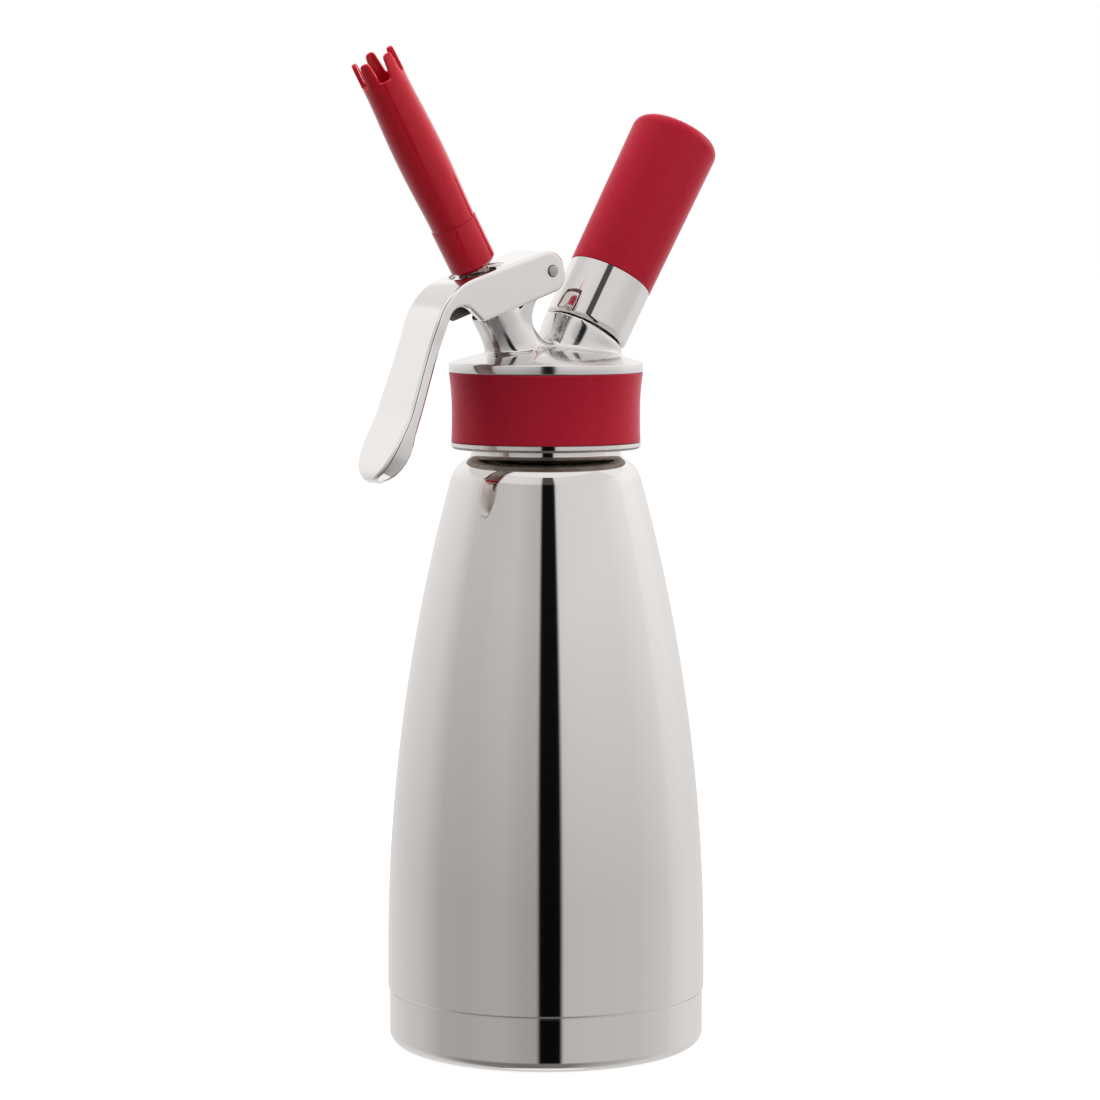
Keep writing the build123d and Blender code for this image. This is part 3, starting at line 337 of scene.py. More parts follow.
SPANGLE = 2.5 * MM
zinc_plate, tree = new_finish("zinc_plated_steel")
place = add(tree, "ShaderNodeTexCoord")
spangle = add(tree, "ShaderNodeTexVoronoi", {"Vector": place.outputs["Object"], "Scale": 1 / SPANGLE})
zinc = add(tree, "ShaderNodeMix", {"Factor": spangle.outputs["Distance"], COLOUR_A: linear("#C3C7C9"),
                                   COLOUR_B: linear("#A9AEB1")}, data_type="RGBA")
add(tree, "ShaderNodeBsdfPrincipled", {
    "Base Color": zinc.outputs[MIXTURE], "Metallic": 1.0,
    "Roughness": patches(tree, size=1.2, low=0.28, high=0.36)})

tin_foil, tree = new_finish("tin_foil")
add(tree, "ShaderNodeBsdfPrincipled", {
    "Base Color": linear("#C8C6C2"), "Metallic": 1.0, "Roughness": patches(tree, size=0.5, low=0.33, high=0.45),
    "Normal": uneven(tree, size=0.7, depth=0.03, detail=4.0)})

# %% [markdown]
# ## Silicone, plastic and rubber
# The grip and the holder's cap are red silicone with a matt moulded face. Fine dust clings to it, and so it
# pales towards its edges, which a sheen does here. The tip is red polypropylene: glossy, slightly
# see-through at thin places, and with a faint flow waviness from the mould. Seals are nitrile rubber and the
# stem's bush is acetal.

# %% Silicone, plastic and rubber
red_silicone, tree = new_finish("matte_red_silicone")
add(tree, "ShaderNodeBsdfPrincipled", {
    "Base Color": mottled(tree, size=1.8, dark="#9D0F26", light="#A31329", detail=4.0),
    "Roughness": patches(tree, size=1.0, low=0.46, high=0.54), "IOR": 1.41, "Specular IOR Level": 0.16,
    "Sheen Weight": 1.0, "Sheen Roughness": 0.27, "Sheen Tint": linear("#FFC4D0"),
    "Normal": uneven(tree, size=0.35, depth=0.012)})

red_plastic, tree = new_finish("glossy_red_polypropylene")
add(tree, "ShaderNodeBsdfPrincipled", {
    "Base Color": linear("#B21226"), "Roughness": patches(tree, size=2.0, low=0.12, high=0.17), "IOR": 1.49,
    "Specular IOR Level": 0.16, "Coat Weight": 1.0, "Coat IOR": 1.25, "Coat Roughness": 0.08,
    "Subsurface Weight": 0.45, "Subsurface Scale": 0.003, "Subsurface Radius": (1.0, 0.12, 0.12),
    "Normal": uneven(tree, size=9.0, depth=0.02, detail=1.0)})

black_rubber, tree = new_finish("nitrile_rubber")
add(tree, "ShaderNodeBsdfPrincipled", {
    "Base Color": mottled(tree, size=1.0, dark="#161617", light="#202022"), "IOR": 1.52,
    "Roughness": patches(tree, size=0.6, low=0.62, high=0.74), "Normal": uneven(tree, size=0.3, depth=0.01)})

black_plastic, tree = new_finish("black_acetal")
add(tree, "ShaderNodeBsdfPrincipled", {
    "Base Color": linear("#161617"), "IOR": 1.48, "Roughness": patches(tree, size=1.2, low=0.3, high=0.4),
    "Normal": uneven(tree, size=0.4, depth=0.005)})

# %% [markdown]
# Every finish ends the same way: its surface shader goes to the material's output. Many of the frame's own
# solids are right as they are, such as the threads, the vessel and the seals. They keep their shape and only
# get their finish.

# %% Put the finishes on the frame's own solids
FINISH_OF_SLOT = {"polished_steel": mirror_steel, "machined_steel": turned_steel, "braze": braze,
                  "red_silicone": red_silicone, "red_plastic": red_plastic, "black_rubber": black_rubber,
                  "black_plastic": black_plastic, "zinc_plated_steel": zinc_plate, "tin_foil": tin_foil}
for finish in (*FINISH_OF_SLOT.values(), cast_steel, tumbled_steel, as_cast, bare_steel):
    skin = finish.node_tree.nodes["Principled BSDF"]
    add(finish.node_tree, "ShaderNodeOutputMaterial", {"Surface": skin.outputs["BSDF"]})
for subpart in frame["record"]["subparts"]:
    solid = nodes[subpart["node"]]
    solid.data.materials.clear()
    solid.data.materials.append(FINISH_OF_SLOT[subpart["material_slot"]])

# %% [markdown]
# ## Working by hand, in code
# The pieces below are modelled with the same operators that a person would use: add a primitive, pick
# vertices by where they are, extrude, spin and bevel, then finish with modifiers. These helpers keep that
# short. `sketch` draws a line point to point and fills it, `lathe` turns one into a solid, `pick` selects
# vertices by their place, and `cut` takes one shape out of another.


# %% Helpers for modelling
def alone(piece):
    """Makes this piece the only one selected, and the active one."""
    bpy.ops.object.select_all(action="DESELECT")
    piece.select_set(True)
    bpy.context.view_layer.objects.active = piece


def open_up():
    """Edit mode, with all of the active piece selected."""
    bpy.ops.object.mode_set(mode="EDIT")
    bpy.ops.mesh.select_all(action="SELECT")


def face_out():
    """In edit mode, selects everything and turns its normals out."""
    bpy.ops.mesh.select_all(action="SELECT")
    bpy.ops.mesh.normals_make_consistent(inside=False)


def pick(piece, wanted):
    """In edit mode, selects the vertices whose place passes the test, and what lies between them."""
    bpy.ops.mesh.select_all(action="DESELECT")
    bpy.ops.object.mode_set(mode="OBJECT")
    for vertex in piece.data.vertices:
        vertex.select = wanted(vertex.co)
    bpy.ops.object.mode_set(mode="EDIT")


def sketch(name, points, fill=True):
    """A flat outline drawn in the XZ plane, from (x, z) points in millimetres. It is left in edit mode."""
    corners = [Vector((x, 0, z)) * MM for x, z in points]
    bpy.ops.mesh.primitive_plane_add(size=MM, location=corners[0])
    piece = bpy.context.object
    piece.name = piece.data.name = name
    bpy.ops.object.transform_apply(location=True)
    bpy.ops.object.mode_set(mode="EDIT")
    bpy.ops.mesh.select_mode(type="VERT")
    bpy.ops.mesh.select_all(action="SELECT")
    bpy.ops.mesh.merge(type="CENTER")
    for start, end in zip(corners, corners[1:]):
        bpy.ops.mesh.extrude_vertices_move(TRANSFORM_OT_translate={"value": end - start})
    bpy.ops.mesh.select_all(action="SELECT")
    if fill:
        bpy.ops.mesh.edge_face_add()
    return piece


def lathe(name, points, steps=128, closed=True):
    """A turned piece: an outline in (radius, z) millimetres, spun once round the Z axis."""
    piece = sketch(name, points + points[:1] if closed else points, fill=False)
    bpy.ops.mesh.spin(steps=steps, angle=math.radians(360), center=(0, 0, 0), axis=(0, 0, 1))
    bpy.ops.mesh.select_all(action="SELECT")
    bpy.ops.mesh.remove_doubles(threshold=0.002 * MM)
    face_out()
    bpy.ops.object.mode_set(mode="OBJECT")
    return piece


def apply(piece, kind, **settings):
    """Adds a modifier with these settings and applies it."""
    alone(piece)
    modifier = piece.modifiers.new(kind.lower(), kind)
    for setting, value in settings.items():
        setattr(modifier, setting, value)
    bpy.ops.object.modifier_apply(modifier=modifier.name)


def cut(piece, tool, operation="DIFFERENCE"):
    """Takes the tool's shape out of the piece (or joins them), and deletes the tool."""
    apply(piece, "BOOLEAN", object=tool, operation=operation, solver="EXACT")
    bpy.data.objects.remove(tool)


def rod(name, radius, foot, direction, length, sides=64):
    """A round bar or cutter in millimetres, from its foot along a direction."""
    along = Vector(direction).normalized()
    middle = (Vector(foot) + along * length / 2) * MM
    bpy.ops.mesh.primitive_cylinder_add(vertices=sides, radius=radius * MM, depth=length * MM, location=middle,
                                        rotation=along.to_track_quat("Z", "Y").to_euler())
    bar = bpy.context.object
    bar.name = bar.data.name = name
    bpy.ops.object.transform_apply(location=True, rotation=True)
    return bar


def copy_of(node, name):
    """A free copy of one of the frame's solids, with its loose triangles merged."""
    piece = bpy.data.objects.new(name, nodes[node].data.copy())
    piece.data.name = name
    bpy.context.scene.collection.objects.link(piece)
    alone(piece)
    open_up()
    bpy.ops.mesh.remove_doubles(threshold=0.001 * MM)
    bpy.ops.mesh.customdata_custom_splitnormals_clear()
    bpy.ops.object.mode_set(mode="OBJECT")
    return piece


def weld(piece, other):
    """Joins the other piece's mesh to this one's."""
    alone(other)
    piece.select_set(True)
    bpy.context.view_layer.objects.active = piece
    bpy.ops.object.join()


def fit(piece, body, node, finish, smooth=30):
    """Gives a finished piece its material, smooth shading, the body it moves with and the solid it replaces."""
    piece.data.materials.clear()
    piece.data.materials.append(finish)
    alone(piece)
    bpy.ops.object.shade_smooth_by_angle(angle=math.radians(smooth))
    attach(piece, body)
    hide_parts(node)
    print(piece.name, "faces:", len(piece.data.polygons))


# %% [markdown]
# ## The head casting
# The dome, the valve boss, the charger boss and the web with its ear are one investment casting. Its parts
# run into each other with soft fillets, and tumbling has rounded every edge. Bevels can't follow such
# junctions, so it is done as a caster's wax would be: a copy of the head's solid is fused with the dome into
# one even skin (a voxel remesh) and then smoothed, lightly all over and strongly at the foot of the bosses,
# where wax was run in.

# %% The head casting
FLANGE_RADIUS, FLANGE_FOOT = 31.5, 219.5
DOME_EDGE, DOME_TOP = 222.5, 227.8
CASTING_EDGE, CASTING_FOOT = 29.8, 220.5
SPARE = 1.0                    # the wax reaches this far below the casting's foot, until it is trimmed
DOME_REACH, DOME_STEP, DOME_SKIRT = 36, 3, 4
VOXEL = 0.4
FILLET_TOP, FILLET_FADE = 236.5, 5
FILLET_PASSES, SKIN_PASSES = 110, 14
BULK = 60                      # a cutter's size where it only has to be larger than what it cuts
DOME_BALL = (FLANGE_RADIUS ** 2 + (DOME_TOP - DOME_EDGE) ** 2) / (2 * (DOME_TOP - DOME_EDGE))


def dome_height(radius):
    """Height of the dome's surface at a radius."""
    return DOME_TOP - DOME_BALL + math.sqrt(DOME_BALL ** 2 - radius ** 2)


casting = copy_of("head_body", "head_casting")
open_up()
bpy.ops.mesh.bisect(plane_co=(0, 0, (CASTING_FOOT - SPARE) * MM), plane_no=(0, 0, 1), use_fill=True,
                    clear_inner=True)
bpy.ops.object.mode_set(mode="OBJECT")
dome_line = [(radius, dome_height(radius)) for radius in range(0, DOME_REACH + 1, DOME_STEP)]
dome = lathe("dome", [(0, CASTING_FOOT - SPARE), *dome_line, (DOME_REACH, CASTING_FOOT - DOME_SKIRT)])
weld(casting, dome)
apply(casting, "REMESH", mode="VOXEL", voxel_size=VOXEL * MM)
foot = casting.vertex_groups.new(name="foot")
for vertex in casting.data.vertices:
    weight = min(1.0, (FILLET_TOP - vertex.co.z / MM) / FILLET_FADE)
    if weight > 0:
        foot.add([vertex.index], weight, "REPLACE")
apply(casting, "SMOOTH", factor=0.5, iterations=FILLET_PASSES, vertex_group="foot")
apply(casting, "SMOOTH", factor=0.5, iterations=SKIN_PASSES)
cut(casting, rod("trim", CASTING_EDGE, (0, 0, CASTING_FOOT), (0, 0, 1), BULK, sides=160), "INTERSECT")
fit(casting, "head", "head_body", tumbled_steel, smooth=50)

# %% [markdown]
# ## The flange and the skirt
# The casting ends in a disc that is turned on a lathe after polishing, so its rim is crisp. Under it hangs
# the threaded skirt that holds the grip. The rim is turned from an outline, and the skirt is the solid's
# own, cut off under the disc. The skirt is a mirror outside and bare inside and below.

# %% The flange and the skirt
RIM_BREAK = 0.3
FLANGE_BORE = 16.0
edge, corner = FLANGE_RADIUS - RIM_BREAK, RIM_BREAK * 0.3
flange = lathe("head_flange", [
    (FLANGE_BORE, FLANGE_FOOT), (edge, FLANGE_FOOT), (FLANGE_RADIUS - corner, FLANGE_FOOT + corner),
    (FLANGE_RADIUS, FLANGE_FOOT + RIM_BREAK), (FLANGE_RADIUS, DOME_EDGE - RIM_BREAK),
    (FLANGE_RADIUS - corner, DOME_EDGE - corner),
    *[(radius, dome_height(radius)) for radius in (edge, FLANGE_RADIUS - 1, CASTING_EDGE)],
    (CASTING_EDGE, CASTING_FOOT), (FLANGE_BORE, CASTING_FOOT)], steps=160)
fit(flange, "head", "head_body", tumbled_steel, smooth=40)

SKIRT_INSIDE = 27.0
FACES_DOWN = -0.7
skirt = copy_of("head_body", "head_skirt")
cut(skirt, rod("skirt_trim", BULK, (0, 0, FLANGE_FOOT), (0, 0, -1), BULK, sides=32), "INTERSECT")
fit(skirt, "head", "head_body", mirror_steel)
skirt.data.materials.append(bare_steel)
for face in skirt.data.polygons:
    if face.normal.z < FACES_DOWN or Vector(face.center[:2]).length < SKIRT_INSIDE * MM:
        face.material_index = 1

# %% [markdown]
# ## The lever
# The lever is one casting too: a flat top with two cheeks that hold the pin, then a bend, and a handle that
# kicks out into a broad rounded grip end. Its faces are flat and its long edges are soft, so it is drawn
# from the side, cut across into stations, pulled out to its width and narrowed station by station. Then come
# the bevels, the hollow behind, and the holes.

# %% The lever's side view
ROOT_HIGH, ROOT_LOW = (-1.563, 259.997), (2.341, 247.304)
BEND, KICK, GRIP_FOOT = (-44.1, 246.911), (-58.442, 206.411), (-68.867, 187.211)
ARCH, HOOK = (-39.956, 243.801), (-30.656, 235.901)
BEND_ROUND, KICK_ROUND, ROOT_ROUND, ARCH_ROUND, HOOK_ROUND = 22.0, 30.0, 5.6, 4.5, 1.8
BEND_STEPS = 24


def rounded(corners, radii, steps=8):
    """A line through the corners, with a round of this radius at each corner that has one."""
    corners = [Vector(corner) for corner in corners]
    line = []
    for i, (corner, radius) in enumerate(zip(corners, radii)):
        if not radius:
            line.append(corner)
            continue
        before = (corners[i - 1] - corner).normalized()
        after = (corners[(i + 1) % len(corners)] - corner).normalized()
        half = before.angle(after) / 2
        middle = corner + (before + after).normalized() * radius / math.sin(half)
        start = corner + before * radius / math.tan(half) - middle
        end = corner + after * radius / math.tan(half) - middle
        sweep = math.pi - 2 * half
        line += [middle + (start * math.sin((1 - t) * sweep) + end * math.sin(t * sweep)) / math.sin(sweep)
                 for t in (step / steps for step in range(steps + 1))]
    return line


def walk(line, distance):
    """The point at this distance along a line, and the direction there."""
    for start, end in zip(line, line[1:]):
        step = (end - start).length
        if distance <= step or end is line[-1]:
            return start + (end - start) * distance / step, (end - start).normalized()
        distance -= step


# the handle's front starts where the bend ends
front = rounded([ROOT_HIGH, BEND, KICK, GRIP_FOOT], [0, BEND_ROUND, KICK_ROUND, 0], steps=BEND_STEPS)
front = front[1 + BEND_STEPS:]
handle_length = sum((b - a).length for a, b in zip(front, front[1:]))
print("handle length in mm:", round(handle_length, 1))

# %% [markdown]
# The handle is cut across into stations, from the bend to the grip's end. At each one, the thickness and
# half the width follow soft curves: a slight waist, a swell towards the grip, and a round end.

# %% The handle's stations
HANDLE_THICKNESS, GRIP_THICKNESS = 4.2, 6.4
HALF_WIDTH, WAIST, SWELL = 10.5, 10.0, 11.1
MID_Z, GRIP_Z = 230.0, 202.4
STRAIGHT_STEPS = 14
END_LENGTH, END_REACH = 15.0, 0.965
END_ANGLES = (12, 24, 36, 48, 60, 72, 81, 90)
THICKENS_BEFORE, THICKENS_OVER = 8, 14
END_DEPTH_CURVE, END_WIDTH_CURVE, END_LEAN = 5, 2.2, 0.35


def ease(t):
    """0 to 1, starting and ending softly."""
    return (1 - math.cos(math.pi * max(0.0, min(1.0, t)))) / 2


stations = []
straight = handle_length - END_LENGTH
distances = [straight * i / STRAIGHT_STEPS for i in range(STRAIGHT_STEPS + 1)]
distances += [straight + END_LENGTH * math.sin(math.radians(angle)) * END_REACH for angle in END_ANGLES]
for distance in distances:
    point, direction = walk(front, distance)
    inward = Vector((-direction.y, direction.x))
    end = max(0.0, (distance - straight) / END_LENGTH)
    growth = ease((distance - straight + THICKENS_BEFORE) / THICKENS_OVER)
    thickness = HANDLE_THICKNESS + (GRIP_THICKNESS - HANDLE_THICKNESS) * growth
    depth = thickness * math.sqrt(1 - end ** END_DEPTH_CURVE)
    width = HALF_WIDTH + (WAIST - HALF_WIDTH) * ease((HOOK[1] - point.y) / (HOOK[1] - MID_Z))
    width += (SWELL - WAIST) * ease((MID_Z - point.y) / (MID_Z - GRIP_Z))
    width *= math.sqrt(1 - end ** END_WIDTH_CURVE)
    near = point + inward * (thickness - depth) * END_LEAN
    stations.append((near, near + inward * depth, width))

# %% [markdown]
# The side view is one closed sketch: down the handle's front, up its back, under the arch and round the
# cheek. It is divided at the stations, pulled out to the lever's width, and each station is then scaled to
# its own width.

# %% The lever's body
EDGE_ROUND = 1.3
CLOSE = 0.01 * MM
back = [place for _, place, _ in reversed(stations)]
cheek = rounded([back[-1], ARCH, HOOK, ROOT_LOW, ROOT_HIGH, BEND, KICK],
                [0, ARCH_ROUND, HOOK_ROUND, ROOT_ROUND, ROOT_ROUND, BEND_ROUND, 0])[1:-2]
lever = sketch("lever_casting", [near for near, _, _ in stations] + back + cheek)
for near, far, _ in stations:
    ends = [Vector((p.x, 0, p.y)) * MM for p in (near, far)]
    pick(lever, lambda place: min((place - end).length for end in ends) < CLOSE)
    bpy.ops.mesh.vert_connect()
bpy.ops.mesh.select_all(action="SELECT")
bpy.ops.transform.translate(value=(0, -HALF_WIDTH * MM, 0))
bpy.ops.mesh.extrude_region_move(TRANSFORM_OT_translate={"value": (0, 2 * HALF_WIDTH * MM, 0)})
for near, far, width in stations:
    ends = [Vector((p.x, p.y)) * MM for p in (near, far)]
    pick(lever, lambda place: min((Vector((place.x, place.z)) - end).length for end in ends) < CLOSE)
    bpy.ops.transform.resize(value=(1, width / HALF_WIDTH, 1), center_override=(0, 0, 0))
face_out()
bpy.ops.mesh.select_mode(type="EDGE")
bpy.ops.mesh.select_all(action="DESELECT")
bpy.ops.mesh.edges_select_sharp(sharpness=math.radians(60))
bpy.ops.mesh.bevel(offset=EDGE_ROUND * MM, offset_type="OFFSET", segments=4, profile=0.5, affect="EDGES",
                   clamp_overlap=True)
bpy.ops.object.mode_set(mode="OBJECT")
print("lever faces before cutting:", len(lever.data.polygons))

# %% [markdown]
# The back is hollow, so that the casting cools evenly: walls of 2 mm stay in front and on both sides. Two
# short noses inside the cheeks push on the valve. The valve's stem goes through a hole with a shallow dimple
# round it, and the hinge pin through the cheeks. All of these are cut with plain tools, and the new edges
# get a small bevel. The valve's axis leans by 30 degrees, and places on it are counted from where it crosses
# the bottle's axis.

# %% The hollow, the noses and the holes
WALL = 2.0
CHEEK_INNER = HALF_WIDTH - WALL
LEAN = math.radians(30)
VALVE_AXIS = Vector((-math.sin(LEAN), 0, math.cos(LEAN)))
CROSSING = Vector((0, 0, 206))
PIN = (-4.39, 252.18)
SLOPE = math.radians(17.1)
TOP_NORMAL = Vector((-math.sin(SLOPE), 0, math.cos(SLOPE)))
# places along the valve's axis, and the sizes of the round tools
NOSE_AT, NOSE_SIDE, NOSE_RADIUS, NOSE_LENGTH = 51.7, 6.25, 2.0, 2.6
TOP_AT, DIMPLE_RADIUS, DIMPLE_DEPTH, DIMPLE_ROUND, DIMPLE_TOOL = 53.42, 9.2, 0.8, 0.7, 6
STEM_HOLE_FROM, STEM_HOLE_RADIUS, STEM_HOLE_LENGTH = 46.4, 6.2, 16
PIN_HOLE_RADIUS, PIN_HOLE_SIDE = 2.0, 12
CUT_BEVEL = 0.25


def inset_line(corners, depth):
    """The line's inner corners, moved this deep to its left."""
    corners = [Vector(corner) for corner in corners]
    moved = []
    for before, corner, after in zip(corners, corners[1:], corners[2:]):
        a, b = (corner - before).normalized(), (after - corner).normalized()
        moved.append(corner + (Vector((-a.y, a.x)) + Vector((-b.y, b.x))) * depth / (1 + a.dot(b)))
    return moved


inner_bend, inner_kick = inset_line([ROOT_HIGH, BEND, KICK, GRIP_FOOT], WALL)
beyond = Vector((math.cos(SLOPE), math.sin(SLOPE))) * WALL
down = Vector((math.sin(SLOPE), -math.cos(SLOPE)))
hollow = sketch("hollow", rounded(
    [Vector(ROOT_HIGH) + down * WALL + beyond, inner_bend, inner_kick,
     inner_kick + Vector((HALF_WIDTH, -WALL)), Vector(ROOT_LOW) + down * HALF_WIDTH + beyond],
    [0, BEND_ROUND - WALL, 0, 0, 0], steps=12))
bpy.ops.transform.translate(value=(0, -CHEEK_INNER * MM, 0))
bpy.ops.mesh.extrude_region_move(TRANSFORM_OT_translate={"value": (0, 2 * CHEEK_INNER * MM, 0)})
face_out()
bpy.ops.object.mode_set(mode="OBJECT")
cut(lever, hollow)
nose = CROSSING + VALVE_AXIS * NOSE_AT
for side in (-1, 1):
    nose_foot = nose + Vector((0, side * NOSE_SIDE, 0))
    cut(lever, rod("nose", NOSE_RADIUS, nose_foot, (0, side, 0), NOSE_LENGTH, sides=32), "UNION")
dimple_floor = CROSSING + VALVE_AXIS * TOP_AT - TOP_NORMAL * DIMPLE_DEPTH
dimple = rod("dimple", DIMPLE_RADIUS, dimple_floor, TOP_NORMAL, DIMPLE_TOOL, sides=96)
bpy.ops.object.mode_set(mode="EDIT")
pick(dimple, lambda place: (place / MM - dimple_floor).dot(TOP_NORMAL) < 0.1)
bpy.ops.mesh.bevel(offset=DIMPLE_ROUND * MM, segments=4, affect="EDGES")
bpy.ops.object.mode_set(mode="OBJECT")
cut(lever, dimple)
stem_hole = CROSSING + VALVE_AXIS * STEM_HOLE_FROM
cut(lever, rod("stem_hole", STEM_HOLE_RADIUS, stem_hole, VALVE_AXIS, STEM_HOLE_LENGTH))
pin_hole = (PIN[0], -PIN_HOLE_SIDE, PIN[1])
cut(lever, rod("pin_hole", PIN_HOLE_RADIUS, pin_hole, (0, 1, 0), 2 * PIN_HOLE_SIDE, sides=48))
apply(lever, "BEVEL", width=CUT_BEVEL * MM, segments=2, limit_method="ANGLE", angle_limit=math.radians(50),
      use_clamp_overlap=True)
fit(lever, "lever", "lever", cast_steel, smooth=35)
apply(lever, "WEIGHTED_NORMAL", keep_sharp=True, weight=90)

# %% [markdown]
# A polishing wheel can't reach inside, so the hollow stays as it was cast: the inner faces of both cheeks,
# and the inside of the front wall.

# %% The hollow's finish
NEARLY = 0.1
lever.data.materials.append(as_cast)
for face in lever.data.polygons:
    across = abs(face.center.y) / MM
    on_cheek = abs(face.normal.y) > 1 - NEARLY and abs(across - CHEEK_INNER) < NEARLY
    above_kick = face.center.z > (KICK[1] - WALL) * MM
    in_front_wall = across < CHEEK_INNER + NEARLY and face.normal.x > NEARLY and above_kick
    if on_cheek or in_front_wall:
        face.material_index = 1

# %% [markdown]
# ## The decorator tip
# The tip is moulded in one shot from polypropylene: a slightly barrelled tube whose mouth ends in five blunt
# teeth, so that the cream comes out as a rosette. The teeth are easiest to draw flat. One fifth of the mouth
# is sketched as a flat strip, given its thickness and its soft edges, scored where it has to bend, and
# rolled up by a Simple Deform modifier. Four copies close the ring, and a turned barrel is joined on below.

# %% One tooth, drawn flat
MOUTH_RADIUS, MOUTH_WALL = 7.25, 1.35
TEETH = 5
TOOTH_HEIGHT, TOOTH_ROOT, TOOTH_TIP = 7.6, 5.1, 3.2
SLOT_CORNER, TOOTH_ROUND, TOOTH_EDGE = 0.6, 1.5, 0.28
STRIP_FOOT = -3.0
SCORE = 3
half_pitch = math.pi * MOUTH_RADIUS / TEETH
outline = rounded([(-half_pitch, STRIP_FOOT), (half_pitch, STRIP_FOOT), (half_pitch, 0), (TOOTH_ROOT / 2, 0),
                   (TOOTH_TIP / 2, TOOTH_HEIGHT), (-TOOTH_TIP / 2, TOOTH_HEIGHT), (-TOOTH_ROOT / 2, 0),
                   (-half_pitch, 0)], [0, 0, 0, SLOT_CORNER, TOOTH_ROUND, TOOTH_ROUND, SLOT_CORNER, 0], steps=7)
tooth = sketch("tip_tube_moulding", outline)
bpy.ops.mesh.extrude_region_move(TRANSFORM_OT_translate={"value": (0, MOUTH_WALL * MM, 0)})
face_out()
bpy.ops.mesh.select_mode(type="FACE")
# the two sides and the foot are opened, because they will meet their neighbours
for way, reach in ((Vector((1, 0, 0)), half_pitch), (Vector((-1, 0, 0)), half_pitch),
                   (Vector((0, 0, -1)), -STRIP_FOOT)):
    bpy.ops.mesh.select_all(action="DESELECT")
    bpy.ops.object.mode_set(mode="OBJECT")
    for face in tooth.data.polygons:
        face.select = face.normal.dot(way) > 0.99 and face.center.dot(way) > (reach - 0.01) * MM
    bpy.ops.object.mode_set(mode="EDIT")
    bpy.ops.mesh.delete(type="FACE")
bpy.ops.mesh.select_mode(type="EDGE")
bpy.ops.mesh.select_all(action="DESELECT")
bpy.ops.mesh.edges_select_sharp(sharpness=math.radians(60))
bpy.ops.mesh.bevel(offset=TOOTH_EDGE * MM, offset_type="OFFSET", segments=3, affect="EDGES")
bpy.ops.mesh.select_mode(type="VERT")
for step in range(-180 // TEETH + SCORE, 180 // TEETH, SCORE):
    bpy.ops.mesh.select_all(action="SELECT")
    bpy.ops.mesh.bisect(plane_co=(math.radians(step) * MOUTH_RADIUS * MM, 0, 0), plane_no=(1, 0, 0))
bpy.ops.object.mode_set(mode="OBJECT")
print("faces of one flat tooth:", len(tooth.data.polygons))

# %% The ring of teeth
TOOTH_FOOT = 122.85
apply(tooth, "SIMPLE_DEFORM", deform_method="BEND", deform_axis="Z", angle=math.radians(360 / TEETH))
open_up()
bpy.ops.transform.translate(value=(0, -MOUTH_RADIUS * MM, TOOTH_FOOT * MM))
for copy in range(1, TEETH):
    bpy.ops.mesh.duplicate()
    bpy.ops.transform.rotate(value=math.radians(360 / TEETH), orient_axis="Z", center_override=(0, 0, 0))
bpy.ops.object.mode_set(mode="OBJECT")
print("ring of teeth, width in mm:", [round(size / MM, 2) for size in tooth.dimensions])

# %% [markdown]
# The barrel is a turned shape. Its line starts at the foot of the ring's outer face, swells a little on the
# way down, rounds the foot, and comes back up inside: past the seat of the steel insert and through a funnel
# into the bore. It is spun in the same steps as the strip was scored, so the two meet corner to corner.

# %% The barrel
TUBE_FOOT, FOOT_RADIUS, FOOT_LIFT = 70.65, 7.35, 0.4
SWELL_OUT, SWELL_CURVE, SIDE_STEPS = 0.65, 1.6, 24
INSERT_RADIUS, INSERT_SEAT = 5.6, 66.65
THROAT_RADIUS, THROAT_TOP, FUNNEL_TOP = 3.4, 69.0, 72.5
BORE_RADIUS = MOUTH_RADIUS - MOUTH_WALL
ring_foot = TOOTH_FOOT + STRIP_FOOT
barrel_line = []
for step in range(SIDE_STEPS + 1):
    t = step / SIDE_STEPS
    swell = SWELL_OUT * math.sin(math.pi * t) ** SWELL_CURVE
    barrel_line.append((MOUTH_RADIUS + (FOOT_RADIUS - MOUTH_RADIUS) * t + swell,
                        ring_foot + (TUBE_FOOT + FOOT_LIFT - ring_foot) * t))
barrel_line += [(FOOT_RADIUS - 0.05, TUBE_FOOT + 0.15), (FOOT_RADIUS - 0.25, TUBE_FOOT),
                (INSERT_RADIUS, TUBE_FOOT), (INSERT_RADIUS, INSERT_SEAT), (THROAT_RADIUS, INSERT_SEAT),
                (THROAT_RADIUS, THROAT_TOP), (BORE_RADIUS, FUNNEL_TOP), (BORE_RADIUS, ring_foot)]
barrel = lathe("barrel", barrel_line, steps=360 // SCORE, closed=False)
weld(tooth, barrel)
open_up()
bpy.ops.mesh.remove_doubles(threshold=0.01 * MM)
face_out()
bpy.ops.object.mode_set(mode="OBJECT")


def lean(piece, tilt, turn=0.0):
    """Leans an upright piece, whose heights start where the slanted axes cross, onto one of them."""
    for angles, place in (((0, 0, turn), Vector()), ((0, tilt, 0), CROSSING * MM)):
        alone(piece)
        piece.rotation_euler = [math.radians(angle) for angle in angles]
        piece.location = place
        bpy.ops.object.transform_apply(location=True, rotation=True)


TOOTH_TURN = 83
TIP_LEAN, HOLDER_LEAN = -30, 30
lean(tooth, TIP_LEAN, TOOTH_TURN)
fit(tooth, "tip", "tip_tube", red_plastic, smooth=40)

# %% [markdown]
# ## The tip's collar
# The collar is the part that fingers turn. It is moulded round the steel insert, a hair wider than the tube
# that stands in it, with a rounded upper rim that catches the light and a blunt bevel at its foot.

